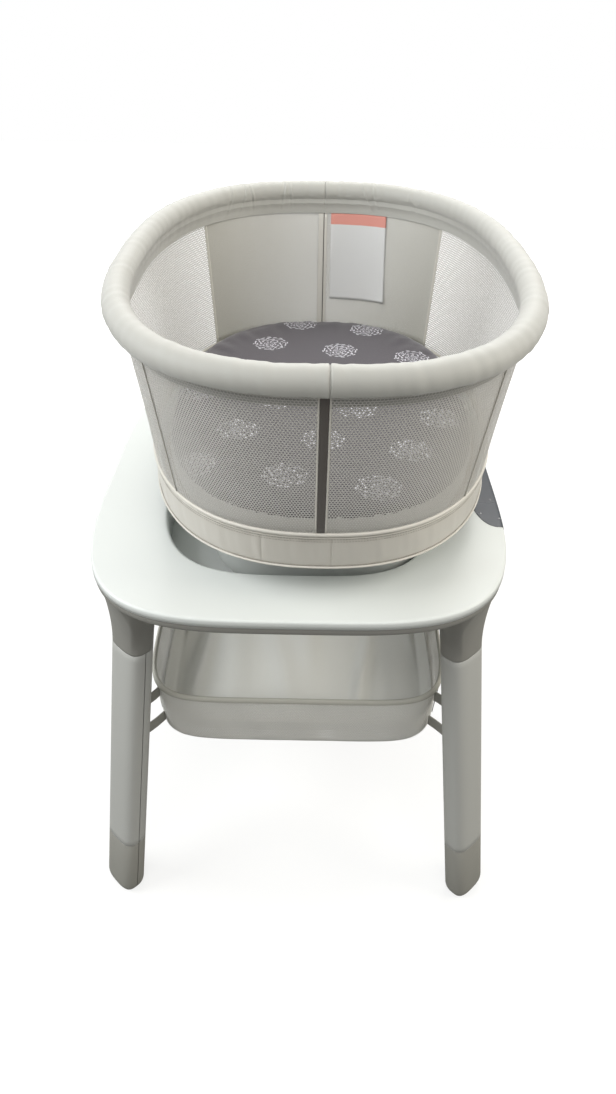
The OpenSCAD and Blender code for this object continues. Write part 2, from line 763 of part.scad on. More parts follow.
module lift_nut() {
    low = plate_top + motor_h + lift_travel + 1;
    color([0.75, 0.62, 0.35]) translate([tub_shift, 0, 0]) difference() {
        translate([0, 0, low]) cylinder(r = screw_r + 5, h = pan_floor_z - cap_top - low, $fn = 48);
        translate([0, 0, low - 1]) cylinder(r = screw_r + running, h = 200, $fn = 48);
    }
}

module tub_screws() {
    color(steel) tub_screw_posts() {
        translate([0, 0, pan_wall]) cylinder(r = 4.5, h = 2.4, $fn = 32);
        translate([0, 0, -11]) cylinder(r = 1.5, h = 11 + pan_wall + 1, $fn = 24);
    }
}

// Half width, half length and squareness of the tub's outer skin at a height
function wall_w(z) = z < band_top_z ? band_half_w
    : mix(band_half_w, rim_half_w, (z - band_top_z) / (rim_z - band_top_z));
function wall_l(z) = z < band_top_z
    ? mix(band_half_l, band_half_l + band_flare, (z - band_z) / band_h)
    : mix(band_half_l + band_flare, rim_half_l, (z - band_top_z) / (rim_z - band_top_z));
function wall_n(z) = mix(band_power, rim_power, clip((z - band_z) / (rim_z - band_z), 0, 1));
function tub_ring(z, inset, m = fine) =
    ring(wall_w(z) - inset, wall_l(z) - inset, wall_n(z), z, tub_shift, m);

// Dished pan: a skirt over the pedestal, a floor and a low wall
module tub_pan() {
    skin = band_t + seat;
    color(shell_white) difference() {
        loft([
            tub_ring(pan_floor_z, skin + 2 * pan_wall + 2), tub_ring(pan_z, skin + 2 * pan_wall + 4),
            tub_ring(pan_z + sharp, skin + pan_wall + 4), tub_ring(pan_z + 4, skin),
            tub_ring(pan_top_z, skin), tub_ring(pan_top_z + sharp, skin + pan_wall),
            tub_ring(pan_floor_z + pan_wall, skin + pan_wall)
        ]);
        tub_screw_posts() cylinder(r = 1.6, h = 20, center = true, $fn = 24);
    }
}

module mattress_board() {
    edge = band_t + 2 * seat + pan_wall + 2;
    color([0.8, 0.76, 0.68]) difference() {
        oval_plate(wall_w(board_z) - edge, wall_l(board_z) - edge, wall_n(board_z), board_z, board_t,
            tub_shift);
        tub_screw_posts() cylinder(r = 6, h = 60, center = true, $fn = 32);
    }
}

// Fabric band sewn round the pan
module base_band() {
    color(fabric_white) loft([
        tub_ring(band_z, 0, 96), tub_ring(band_top_z, 0, 96),
        tub_ring(band_top_z + sharp, band_t, 96), tub_ring(band_z + sharp, band_t, 96)
    ], looped = true);
}

// Ring swept with a section of [outward, upward] points round the tub at a height
function swept(z, section, m = fine) = [for (s = section)
    ring(wall_w(z) + s[0], wall_l(z) + s[1] * 0 + s[0], wall_n(z), z + s[1], tub_shift, m)];

module band_piping() {
    section = [for (k = [0:7]) [piping_r * cos(45 * k), piping_r * sin(45 * k)]];
    color(fabric_white) loft(swept(band_top_z + piping_r + sharp, section), looped = true);
}

// Mesh panel between two angles round the tub, from the piping up into the rim's skirt
module mesh_panel(from, to, count) {
    low = band_top_z + 2 * piping_r + seat;
    color(mesh_grey) loft([for (i = [0:count]) let (t = mix(from, to, i / count))
        [for (c = [[mesh_top_z, mesh_t], [mesh_top_z, 0], [low, 0], [low, mesh_t]])
            let (p = oval_at(wall_w(c[0]) - c[1], wall_l(c[0]) - c[1], wall_n(c[0]), t))
            [p[0] + tub_shift, p[1], c[0]]]]);
}

// Angle round the tub where a mesh panel stops beside an end strut
strut_gap = asin(pow((strut_w / 2 + 0.8) / wall_w(mesh_top_z), wall_n(band_top_z) / 2));

module mesh_side_right() mesh_panel(-seam_angle + seam_gap, seam_angle - seam_gap, 20);
module mesh_side_left() mesh_panel(180 - seam_angle + seam_gap, 180 + seam_angle - seam_gap, 20);
module mesh_rear_right() mesh_panel(seam_angle + seam_gap, 90 - strut_gap, 12);
module mesh_rear_left() mesh_panel(90 + strut_gap, 180 - seam_angle - seam_gap, 12);
module mesh_front_left() mesh_panel(180 + seam_angle + seam_gap, 270 - strut_gap, 12);
module mesh_front_right() mesh_panel(270 + strut_gap, 360 - seam_angle - seam_gap, 12);

// Flat bars that hold the rim up at the foot and head ends
module end_struts() {
    low = band_top_z + 2 * piping_r + seat;
    high = rim_z - tube_r - 0.5;
    rise = high - low;
    run = wall_l(high) - wall_l(low);
    color([0.35, 0.33, 0.31]) for (s = [0, 180])
        translate([tub_shift, 0, 0]) rotate([0, 0, s])
            translate([-strut_w / 2, wall_l(low) - strut_t, low])
                multmatrix([[1, 0, 0, 0], [0, 1, run / rise, 0], [0, 0, 1, 0], [0, 0, 0, 1]])
                    cube([strut_w, strut_t, rise]);
}

// Woven tapes that close the slit behind each strut on the inside
module strut_tapes() {
    low = band_top_z + 2 * piping_r + seat;
    high = skirt_z - seat;
    rise = high - low;
    run = wall_l(high) - wall_l(low);
    color(mesh_grey) for (s = [0, 180])
        translate([tub_shift, 0, 0]) rotate([0, 0, s])
            translate([-strut_w / 2 - 3, wall_l(low) - strut_t - 1.2, low])
                multmatrix([[1, 0, 0, 0], [0, 1, run / rise, 0], [0, 0, 1, 0], [0, 0, 0, 1]])
                    cube([strut_w + 6, 1, rise]);
}

// Round section that travels along the rim's centre line
function rim_section(t, r, m = 12) = let (
    p = oval_at(rim_half_w, rim_half_l, rim_power, t),
    a = oval_at(rim_half_w, rim_half_l, rim_power, t - 0.5),
    b = oval_at(rim_half_w, rim_half_l, rim_power, t + 0.5),
    d = (b - a) / norm(b - a), o = [d[1], -d[0]])
    [for (k = [0:m - 1]) let (u = 360 * k / m)
        [p[0] + tub_shift + r * sin(u) * o[0], p[1] + r * sin(u) * o[1], rim_z + r * cos(u)]];

module rim_tube(from) {
    steps = 40;
    gap = 0.2;
    at = [for (i = [0:steps]) from + mix(gap, 180 - gap, i / steps)];
    color(steel) pipe([for (t = at) rim_section(t, tube_r)],
        [for (t = at) rim_section(t, tube_r - tube_wall)]);
}

module rim_tube_rear() rim_tube(0);
module rim_tube_front() rim_tube(180);

// Plugs that join the two halves of the rim tube
module rim_joiners() {
    color(steel) for (s = [-1, 1]) translate([tub_shift + s * rim_half_w, 0, rim_z]) rotate([90, 0, 0])
        cylinder(r = tube_r - tube_wall - 0.6, h = 44, center = true, $fn = 32);
}

// Padded fabric sleeve round the rim tube, sewn to both faces of the mesh below
module rim_sleeve() {
    inner = rim_r - pad_t;
    slit = skirt_slit;
    drop = skirt_z - rim_z;
    lap = -rim_r - lap_h;
    section = concat(
        [[slit, lap], [slit + 2.2, lap], [rim_r * 0.62, -rim_r * 0.78]],
        [for (k = [-30:30:210]) [rim_r * cos(k), rim_r * sin(k)]],
        [[-rim_r * 0.7, -rim_r * 0.9], [-slit - mesh_t - 2.2, drop], [-slit - mesh_t, drop],
         [-slit - mesh_t, -inner * 1.1]],
        [for (k = [210:-40:-30]) [inner * cos(k), inner * sin(k)]],
        [[slit, -inner * 1.1]]);
    color(fabric_white) loft([for (s = section)
        let (lean = s[1] < -inner ? (wall_w(rim_z + s[1]) - rim_half_w) : 0,
             lean_l = s[1] < -inner ? (wall_l(rim_z + s[1]) - rim_half_l) : 0)
        ring(rim_half_w + s[0] + lean, rim_half_l + s[0] + lean_l, rim_power, rim_z + s[1], tub_shift)],
        looped = true);
}

// Blank woven care tag hanging inside the head end, beside the middle seam
module care_tag() {
    top = skirt_z - seat;
    off = mesh_t + skirt_slit + 0.6;
    near = strut_w / 2 + 9;
    color([0.93, 0.93, 0.92]) loft([for (i = [0:8]) let (x = near + tag_w * i / 8)
        [for (c = [[top, 0], [top, 0.8], [top - tag_h, 0.8], [top - tag_h, 0]])
            let (w = wall_w(c[0]) - off, l = wall_l(c[0]) - off - c[1], n = wall_n(c[0]))
            [tub_shift + x, l * pow(1 - pow(x / w, n), 1 / n), c[0]]]]);
}

// Mattress with rounded edges
function pad_ring(z, inset) = ring(mattress_half_w - inset, mattress_half_l - inset, mattress_power,
    z, tub_shift);

module mattress() {
    color([0.9, 0.9, 0.88]) loft([
        pad_ring(mattress_z, 13), pad_ring(mattress_z + 5, 9), pad_ring(mattress_top - 20, sheet_t + seat),
        pad_ring(mattress_top - 9, 3), pad_ring(mattress_top - 3, 8), pad_ring(mattress_top, 18)
    ]);
}

// Fitted sheet over the mattress, down to its lower edge
module fitted_sheet() {
    g = 0.2;
    color([0.33, 0.31, 0.34]) loft([
        pad_ring(mattress_top + g, 18), pad_ring(mattress_top - 3 + g, 8 - g),
        pad_ring(mattress_top - 9, 3 - g), pad_ring(mattress_top - 20, sheet_t + seat - g),
        pad_ring(mattress_z + 8, 7), pad_ring(mattress_z + 8 - sharp, 7 - sheet_t),
        pad_ring(mattress_top - 20, 0), pad_ring(mattress_top - 9, 3 - sheet_t - g),
        pad_ring(mattress_top - 2 + g, 7.4 - sheet_t), pad_ring(mattress_top + sheet_t + g, 18)
    ]);
}

// ---- Storage basket ----------------------------------------------------------------------

function basket_ring(z, inset) = let (
    drop = clip((basket_hem_z - z) / (basket_hem_z - basket_floor_z), 0, 1))
    ring(basket_half_w - basket_taper * drop - inset, basket_half_l - basket_taper * drop - inset,
        basket_power, z);

module basket_floor() {
    rim = basket_t + 1;
    color(fabric_white) loft([
        basket_ring(basket_floor_z, rim + 5.4), basket_ring(basket_floor_z + 2, rim + 2.5),
        basket_ring(basket_floor_z + 3, rim + 1), basket_ring(basket_floor_z + 4, rim + 0.6),
        basket_ring(basket_floor_z + 4 + sharp, rim + 10)
    ]);
}

// Mesh wall round the basket, turned in under the floor at its lower edge
module basket_mesh() {
    top = basket_hem_z - hem_r - sharp;
    low = basket_floor_z - seat;
    color(mesh_grey) loft([
        basket_ring(low - basket_t, 22), basket_ring(low - basket_t + sharp, 6),
        basket_ring(low + 2, 1), basket_ring(low + 6, 0), basket_ring(top, 0),
        basket_ring(top, basket_t), basket_ring(low + 6, basket_t),
        basket_ring(low + 3.3, basket_t + 1.2), basket_ring(low, basket_t + 6),
        basket_ring(low - sharp, 22)
    ], looped = true);
}

module basket_hem() {
    color(fabric_white) loft([for (k = [0:7])
        ring(basket_half_w - basket_t / 2 + hem_r * cos(45 * k),
            basket_half_l - basket_t / 2 + hem_r * cos(45 * k), basket_power,
            basket_hem_z + hem_r * sin(45 * k))], looped = true);
}

// Two short straps at each corner, from the basket to the leg's inner face
module basket_straps() {
    color(fabric_white) for (sx = [-1, 1], sy = [-1, 1], low = [0, 1]) {
        z = low == 1 ? basket_floor_z + 22 : basket_hem_z - hem_r - strap_w / 2 - 2;
        drop = basket_taper * (basket_hem_z - z - strap_w / 2) / (basket_hem_z - basket_floor_z);
        c = leg_at(z, sx, sy);
        d = c / norm(c);
        start = seat + max([for (s = [-1, 1])
            reach(s * [-d[1], d[0]], d, basket_half_w - drop, basket_half_l - drop, basket_power)]);
        difference() {
            translate([0, 0, z]) rotate([0, 0, atan2(d[1], d[0])])
                translate([start, -1, -strap_w / 2]) cube([norm(c) - start, 2, strap_w]);
            loft([leg_ring(z - strap_w, -seat, sx, sy), leg_ring(z + strap_w, -seat, sx, sy)]);
        }
    }
}

deck_top();
deck_shell();
well_floor();
touch_panel();
indicator_windows();
panel_board();
drive_tray();
case_screws();
power_inlet();
speaker();
main_board();
sway_rails();
sway_motor();
sway_belt();
leg_front_left();
leg_front_right();
leg_rear_left();
leg_rear_right();
button_front_left();
button_front_right();
button_rear_left();
button_rear_right();
foot_caps();
basket_floor();
basket_mesh();
basket_hem();
basket_straps();
carriage_plate();
rail_bushes();
belt_clamp();
guide_posts();
lift_motor();
drive_pulley();
idler_pulley();
lift_screw();
pedestal_cap();
post_bushes();
lift_nut();
tub_screws();
tub_pan();
mattress_board();
base_band();
band_piping();
mesh_side_left();
mesh_side_right();
mesh_front_left();
mesh_front_right();
mesh_rear_left();
mesh_rear_right();
end_struts();
strut_tapes();
rim_tube_front();
rim_tube_rear();
rim_joiners();
rim_sleeve();
care_tag();
mattress();
fitted_sheet();
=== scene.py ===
import math

import bmesh
import bpy
import numpy as np
from mathutils import Matrix, Vector


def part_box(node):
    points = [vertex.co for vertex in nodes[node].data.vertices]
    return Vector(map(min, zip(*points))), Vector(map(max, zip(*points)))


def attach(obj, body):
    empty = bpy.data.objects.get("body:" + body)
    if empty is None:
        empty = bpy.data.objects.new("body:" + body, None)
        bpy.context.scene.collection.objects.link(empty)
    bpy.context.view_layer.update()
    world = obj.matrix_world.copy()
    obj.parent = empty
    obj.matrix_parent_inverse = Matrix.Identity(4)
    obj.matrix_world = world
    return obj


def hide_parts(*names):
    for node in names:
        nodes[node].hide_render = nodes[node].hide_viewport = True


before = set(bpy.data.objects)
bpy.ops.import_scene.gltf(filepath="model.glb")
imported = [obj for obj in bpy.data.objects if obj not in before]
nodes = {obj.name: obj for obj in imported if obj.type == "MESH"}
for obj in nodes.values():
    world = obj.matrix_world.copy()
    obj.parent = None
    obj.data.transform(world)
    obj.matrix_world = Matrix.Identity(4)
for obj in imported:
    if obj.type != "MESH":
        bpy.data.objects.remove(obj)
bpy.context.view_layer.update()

# ---- Camera --------------------------------------------------------------------------------
# A wide lens, held a little above the rim and in front of the foot end, and tilted
# down at the mattress. It is turned a fraction of a degree, as a hand-held camera is.
camera = bpy.data.objects.new("camera", bpy.data.cameras.new("camera"))
camera.data.sensor_width = 36.0
camera.data.lens = 26.98
camera.matrix_world = (
    Matrix.Translation((0.0162, -1.0815, 1.1855))
    @ Matrix.Rotation(math.radians(0.2328), 4, "Z")
    @ Matrix.Rotation(math.radians(54.4647), 4, "X")
    @ Matrix.Rotation(math.radians(0.893), 4, "Z")
)
bpy.context.scene.collection.objects.link(camera)
bpy.context.scene.camera = camera
bpy.context.scene.view_settings.view_transform = "Standard"

# ---- Studio --------------------------------------------------------------------------------
# A floor that looks white but returns little light, a white surround that lens and gloss
# see, and soft lamps: a cool window to the left, a warmer one to the right, one above the
# head end and a weak one in front.


class Finish:
    """One material's node tree, with short calls that add a node and wire it."""

    def __init__(self, name, **values):
        self.material = bpy.data.materials.new(name)
        self.material.use_nodes = True
        self.tree = self.material.node_tree
        self.shader = self.tree.nodes["Principled BSDF"]
        for key, value in values.items():
            self.feed(self.shader.inputs[key.replace("_", " ")], value)

    def feed(self, socket, value):
        """Wires a node's socket in, or writes a number or colour on the socket."""
        if isinstance(value, bpy.types.NodeSocket):
            self.tree.links.new(value, socket)
        else:
            socket.default_value = value

    def node(self, kind, out=0, inputs=(), **settings):
        """A new node with its settings and inputs, given as its chosen output."""
        made = self.tree.nodes.new("ShaderNode" + kind)
        for key, value in settings.items():
            setattr(made, key, value)
        for key, value in dict(inputs).items():
            self.feed(made.inputs[key], value)
        return made.outputs[out]

    def math(self, operation, *values):
        return self.node("Math", operation=operation, inputs=dict(enumerate(values)))

    def plus(self, a, b):
        return self.math("ADD", a, b)

    def less(self, a, b):
        return self.math("SUBTRACT", a, b)

    def times(self, a, b):
        return self.math("MULTIPLY", a, b)

    def over(self, a, b):
        return self.math("DIVIDE", a, b)

    def step(self, value, low, high):
        """0 below low and 1 above high, with a smooth ramp between them."""
        return self.node("MapRange", inputs={0: value, 1: low, 2: high},
                         interpolation_type="SMOOTHSTEP")

    def mix(self, share, first, second):
        """A colour that goes from the first to the second as share goes from 0 to 1."""
        first, second = ((*c, 1.0) if isinstance(c, tuple) else c for c in (first, second))
        return self.node("Mix", out=2, data_type="RGBA", inputs={0: share, 6: first, 7: second})

    def place(self, stretch=(1, 1, 1), uv=False, turn=0.0):
        """Object or UV coordinates, stretched along the axes and turned about Z."""
        where = self.node("TexCoord", out=2 if uv else 3)
        return self.node("Mapping", inputs={0: where, 2: (0, 0, turn), 3: stretch})

    def noise(self, where, scale, detail=2.0, roughness=0.5):
        return self.node("TexNoise", inputs={0: where, 2: scale, 3: detail, 4: roughness})

    def axes(self, where):
        made = self.tree.nodes.new("ShaderNodeSeparateXYZ")
        self.tree.links.new(where, made.inputs[0])
        return made.outputs

    def waves(self, axis, pitch):
        """A cosine of the given pitch along an axis."""
        return self.math("COSINE", self.times(axis, 2 * math.pi / pitch))

    def weave(self, u, v, pitch):
        """Crossing threads that rise and fall in a chequer, between 0 and 1."""
        crossed = self.times(self.waves(u, pitch), self.waves(v, pitch))
        return self.math("MULTIPLY_ADD", crossed, 0.5, 0.5)

    def rough(self, share, first, second, low=0.0):
        """Roughness that goes from the first to the second as share goes from low to 1."""
        self.feed(self.shader.inputs["Roughness"],
                  self.node("MapRange", inputs={0: share, 1: low, 3: first, 4: second}))

    def bump(self, height, depth, strength):
        """Relief of the given depth in metres."""
        self.feed(self.shader.inputs["Normal"], self.node(
            "Bump", inputs={"Height": height, "Distance": depth, "Strength": strength}))

    def colour(self, value):
        self.tree.links.new(value, self.shader.inputs["Base Color"])

    def on(self, *objects):
        """Gives the objects this material alone."""
        for thing in objects:
            thing.data.materials.clear()
            thing.data.materials.append(self.material)


world = bpy.data.worlds.new("surround")
bpy.context.scene.world = world
world.use_nodes = True
surround = world.node_tree
light_path = surround.nodes.new("ShaderNodeLightPath")
seen = surround.nodes.new("ShaderNodeMath")
seen.operation = "MAXIMUM"
mirrored = surround.nodes.new("ShaderNodeMath")
mirrored.operation = "MAXIMUM"
surround.links.new(light_path.outputs["Is Glossy Ray"], mirrored.inputs[0])
surround.links.new(light_path.outputs["Is Transmission Ray"], mirrored.inputs[1])
surround.links.new(light_path.outputs["Is Camera Ray"], seen.inputs[0])
surround.links.new(mirrored.outputs[0], seen.inputs[1])
blend = surround.nodes.new("ShaderNodeMix")
blend.data_type = "RGBA"
blend.inputs[6].default_value = (0.36, 0.36, 0.36, 1.0)
blend.inputs[7].default_value = (1.0, 1.0, 1.0, 1.0)
surround.links.new(seen.outputs[0], blend.inputs[0])
surround.links.new(blend.outputs[2], surround.nodes["Background"].inputs["Color"])


def softbox(name, place, aim, size, power, tint):
    """A rectangular lamp that faces a point."""
    lamp = bpy.data.objects.new(name, bpy.data.lights.new(name, "AREA"))
    lamp.data.shape = "RECTANGLE"
    lamp.data.size, lamp.data.size_y = size
    lamp.data.energy = power
    lamp.data.color = tint
    lamp.location = place
    turn = (Vector(aim) - Vector(place)).to_track_quat("-Z", "Y")
    lamp.rotation_mode = "QUATERNION"
    lamp.rotation_quaternion = turn
    bpy.context.scene.collection.objects.link(lamp)


softbox("window_lamp", (-2.3, -0.4, 2.1), (0, 0, 0.55), (1.8, 1.8), 64, (0.96, 0.985, 1.0))
softbox("front_lamp", (0.0, -1.9, 2.6), (0, -0.2, 0.5), (2.4, 1.4), 26, (1.0, 1.0, 0.99))
softbox("head_lamp", (0.3, 1.7, 2.6), (0, 0.1, 0.55), (2.2, 1.6), 50, (1.0, 1.0, 0.98))
softbox("side_lamp", (2.4, -0.3, 1.9), (0, 0, 0.5), (1.5, 1.5), 40, (1.0, 0.96, 0.87))


def new_mesh(name, points, faces, uv=None):
    """A smooth mesh from points and faces, with a UV pair for each corner of its faces."""
    mesh = bpy.data.meshes.new(name)
    mesh.from_pydata(points.tolist(), [], faces)
    mesh.polygons.foreach_set("use_smooth", np.ones(len(faces), bool))
    if uv is not None:
        mesh.uv_layers.new(name="UVMap").data.foreach_set("uv", uv.ravel())
    mesh.update()
    return mesh


def grid_mesh(name, points, wrap=(False, False), uv=None, caps=()):
    """A mesh through a grid of points: rows go up the outside and columns anticlockwise
    seen from above, so that faces look outwards. wrap joins the last row or column to the
    first, caps fills the first ("low") or last ("high") row with a fan, and uv is one pair
    a point, with one more row or column where the grid wraps."""
    rows, columns = points.shape[:2]
    i, j = np.meshgrid(np.arange(rows - (not wrap[0])), np.arange(columns - (not wrap[1])),
                       indexing="ij")
    i2, j2 = (i + 1) % rows, (j + 1) % columns
    corners = [(i, j), (i, j2), (i2, j2), (i2, j)]
    faces = np.stack([a * columns + b for a, b in corners], -1).reshape(-1, 4).tolist()
    verts = points.reshape(-1, 3)
    ring = np.arange(columns)
    after = np.roll(ring, -1)
    for cap in caps:
        row = 0 if cap == "low" else rows - 1
        verts = np.vstack([verts, points[row].mean(0)])
        hub = np.full(columns, len(verts) - 1)
        pair = (after, ring) if cap == "low" else (ring, after)
        faces += np.stack([pair[0] + row * columns, pair[1] + row * columns, hub], -1).tolist()
    corner_uv = None
    if uv is not None:
        flat = [uv[a, b] for a, b in [(i, j), (i, j + 1), (i + 1, j + 1), (i + 1, j)]]
        flat = np.stack(flat, 2).reshape(-1, 2)
        spare = np.zeros((sum(map(len, faces)) - len(flat), 2))
        corner_uv = np.vstack([flat, spare])
    return new_mesh(name, verts, faces, corner_uv)


def made(name, *meshes):
    """One object at the origin from one or more meshes."""
    thing = bpy.data.objects.new(name, meshes[0])
    bpy.context.scene.collection.objects.link(thing)
    if len(meshes) > 1:
        parts = [thing]
        for mesh in meshes[1:]:
            part = bpy.data.objects.new(name, mesh)
            bpy.context.scene.collection.objects.link(part)
            parts.append(part)
        with bpy.context.temp_override(active_object=thing, selected_editable_objects=parts,
                                       selected_objects=parts, object=thing):
            bpy.ops.object.join()
    return thing


def fitted(thing, finish, body, slot, *replaced):
    """Gives a piece its finish, and says what body it rides on and the nodes it stands for. The
    slot argument is not used."""
    finish.on(thing)
    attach(thing, body)
    if replaced:
        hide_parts(*replaced)


side = np.linspace(-6, 6, 2)
floor_points = np.stack([*np.meshgrid(side, side), np.full((2, 2), -0.0005)], -1)
floor = made("floor", grid_mesh("floor", floor_points))
floor_paint = Finish("floor_paint", Roughness=0.9)
speck = floor_paint.noise(floor_paint.place(), 3.0, 3.0)
floor_paint.colour(floor_paint.mix(speck, (0.24, 0.24, 0.23), (0.27, 0.27, 0.26)))
ray = floor_paint.node("LightPath")
spot = floor_paint.node("VectorMath", out=1, operation="LENGTH", inputs={0: floor_paint.place()})
glow = floor_paint.math("MULTIPLY_ADD", floor_paint.step(spot, 0.7, 2.4), 0.5, 0.74)
floor_paint.shader.inputs["Emission Color"].default_value = (1, 1, 1, 1)
floor_paint.feed(floor_paint.shader.inputs["Emission Strength"],
                 floor_paint.times(ray, glow))
floor_paint.on(floor)

# ---- Deck top ------------------------------------------------------------------------------
# The table-like top moulding: pale greenish-white ABS with a fine satin texture, injection
# moulded in one piece with a rounded edge and a soft lip where it turns down into the well.


def oval(theta, a, b, n):
    """Points of |x/a|^n + |y/b|^n = 1: the ellipse point at angle theta, pushed out along
    its own direction until it meets the squarer curve."""
    c, s = np.cos(theta), np.sin(theta)
    k = (np.abs(c) ** n + np.abs(s) ** n) ** (-1 / n)
    return np.stack([a * c * k, b * s * k], -1)


def raised(flat, z):
    """Points of the XY plane lifted to one height."""
    return np.concatenate([flat, np.full((len(flat), 1), z)], -1)


def oval_rings(theta, profile, n, shift=0.0):
    """Grid of rings round Z, one for each (half width, half length, height)."""
    return np.stack([raised(oval(theta, a, b, n) + (shift, 0), z) for a, b, z in profile])


def round_edge(inset, z, radius, start, end, count):
    """(inset, height) points of an arc about a centre, between two angles in degrees."""
    angle = np.radians(np.linspace(start, end, count))
    return [(inset - radius * c, z + radius * s) for c, s in zip(np.cos(angle), np.sin(angle))]


def moulded(name, colour, shade, roughness, grain=0.00005, coat=0.0):
    """Moulded plastic: its own colour drifts a little, and a fine eroded grain stands on it."""
    paint = Finish(name, Coat_Weight=coat, Coat_Roughness=0.25, Specular_IOR_Level=0.4)
    where = paint.place()
    paint.colour(paint.mix(paint.noise(where, 6.0, 3.0), colour, shade))
    wear = paint.noise(where, 35.0, 4.0)
    paint.rough(wear, roughness - 0.05, roughness + 0.07)
    paint.bump(paint.noise(where, 1600.0, 2.0), grain, 0.35)
    return paint


turn = np.linspace(0, 2 * np.pi, 480, endpoint=False)
deck_low, deck_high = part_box("deck_top")
deck_w, deck_l = deck_high.x, deck_high.y
deck_z = deck_high.z
lip_z = deck_z - 0.011
well_z = deck_low.z
deck_n, well_n = 3.9, 3.5
well_w, well_l = 0.187, 0.265
edge_r, lip_r = 0.0036, 0.0042
edge = [(0.0, lip_z), (0.0, deck_z - 0.005)]
edge += round_edge(edge_r, deck_z - edge_r, edge_r, 0, 90, 7) + [(edge_r + 0.002, deck_z)]
deck_profile = [(deck_w - i, deck_l - i, z) for i, z in edge]
lip = [(-lip_r - 0.002, deck_z)] + [(-2 * lip_r - i, z) for i, z in round_edge(
    -lip_r, deck_z - lip_r, lip_r, 90, 0, 7)]
wall = [(0.0, deck_z - 0.006), (0.0, well_z), (-0.003, well_z), (-0.003, deck_z - 0.004)]
well_profile = [(well_w - i, well_l - i, z) for i, z in lip + wall]
under_edge = [(deck_w - 0.003, deck_l - 0.003, deck_z - 0.004),
              (deck_w - 0.003, deck_l - 0.003, lip_z)]
deck_rings = np.concatenate([
    oval_rings(turn, deck_profile, deck_n),
    oval_rings(turn, well_profile, well_n),
    oval_rings(turn, under_edge, deck_n)])
deck = made("deck_moulding", grid_mesh("deck_moulding", deck_rings, wrap=(True, True)))
satin_white = moulded("satin_white", (0.700, 0.722, 0.695), (0.678, 0.700, 0.673), 0.36)
fitted(deck, satin_white, "stand", "shell_white", "deck_top")

# ---- Deck shell ----------------------------------------------------------------------------
# The lower shell: a thin rim under the deck's lip that flares down into four leg sockets.
# Grey ABS with a matt texture, screwed to the deck top from inside.
shell_inset = 0.0012
shell_z = lip_z - 0.0006
apron_z = shell_z - 0.010
neck_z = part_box("deck_shell")[0].z
corner_share = 0.5 ** (1 / deck_n)
leg_place = (deck_w * corner_share - 0.016, deck_l * corner_share - 0.035)
splay = (0.047, 0.067)
leg_half, leg_n = (0.031, 0.020), 3.0
flare, inner_power, outer_power = 0.042, 4.5, 1.25


def leg_centre(z, sx, sy):
    """Middle of a leg's section at a height: it moves outwards evenly from neck to floor."""
    down = (neck_z - z) / neck_z
    return np.array([sx * (leg_place[0] + splay[0] * down),
                     sy * (leg_place[1] + splay[1] * down)])


def leg_ring(theta, z, inset, sx, sy):
    """A squarish oval with its long side across the deck's corner, seen from above."""
    out = np.array([sx, sy]) / math.sqrt(2)
    along = np.array([-out[1], out[0]])
    p = oval(theta, leg_half[0] - inset, leg_half[1] - inset, leg_n)
    return raised(leg_centre(z, sx, sy) + p[:, :1] * along - p[:, 1:] * out, z)


def reach(origin, ways, a, b, n):
    """Distance from a point inside an oval to its edge along each way, by halving."""
    low, high = np.zeros(len(ways)), np.full(len(ways), 0.6)
    for _ in range(30):
        mid = (low + high) / 2
        q = origin + ways * mid[:, None]
        inside = (np.abs(q[:, 0]) / a) ** n + (np.abs(q[:, 1]) / b) ** n < 1
        low, high = np.where(inside, mid, low), np.where(inside, high, mid)
    return low


def socket_ring(theta, share, inset, sx, sy):
    """The leg's section at the neck, which flares to the deck's edge with a power curve:
    nearly straight on the outer side and a tight fillet on the inner sides."""
    z = neck_z + share * (apron_z + 0.0015 - neck_z)
    middle = leg_centre(z, sx, sy)
    base = leg_ring(theta, z, inset, sx, sy)
    arm = base[:, :2] - middle
    r = np.linalg.norm(arm, axis=1)
    way = arm / r[:, None]
    out = np.clip(0.5 + 0.8 * (way @ (np.array([sx, sy]) / math.sqrt(2))), 0, 1)
    edge_at = reach(middle, way, deck_w - shell_inset - 0.0004 - inset,
                    deck_l - shell_inset - 0.0004 - inset, deck_n)
    far = np.minimum(r + flare, edge_at)
    s = r + (far - r) * share ** (inner_power + (outer_power - inner_power) * out)
    return raised(middle + way * s[:, None], z)


rim_edge = [(shell_inset + 0.0025, apron_z), (shell_inset + 0.0008, apron_z + 0.0006),
            (shell_inset, apron_z + 0.0022), (shell_inset, shell_z - 0.0006),
            (shell_inset + 0.0006, shell_z), (shell_inset + 0.003, shell_z),
            (shell_inset + 0.003, apron_z + 0.003)]
opening_w, opening_l = well_w + 0.0071, well_l + 0.0071
shell_rings = np.concatenate([
    oval_rings(turn, [(deck_w - i, deck_l - i, z) for i, z in rim_edge], deck_n),
    oval_rings(turn, [(opening_w, opening_l, apron_z + 0.003), (opening_w, opening_l, apron_z)],
               well_n)])
shell_parts = [grid_mesh("shell", shell_rings, wrap=(True, True))]
leg_turn = np.linspace(0, 2 * np.pi, 144, endpoint=False)
corners = {"front_left": (-1, -1), "front_right": (1, -1), "rear_left": (-1, 1),
           "rear_right": (1, 1)}
for sx, sy in corners.values():
    levels = np.concatenate([[0.0, 0.004], np.linspace(0.03, 1, 34)])
    outside = [socket_ring(leg_turn, s, 0.0006 if s == 0 else 0.0, sx, sy) for s in levels]
    inside = [socket_ring(leg_turn, s, 0.004, sx, sy) for s in levels[::-1]]
    shell_parts.append(grid_mesh("socket", np.stack(outside + inside), wrap=(True, True)))
shell = made("deck_shell_moulding", *shell_parts)
matt_grey = moulded("matt_grey", (0.225, 0.220, 0.199), (0.210, 0.205, 0.185), 0.50, 0.00007)
fitted(shell, matt_grey, "stand", "shell_grey", "deck_shell")

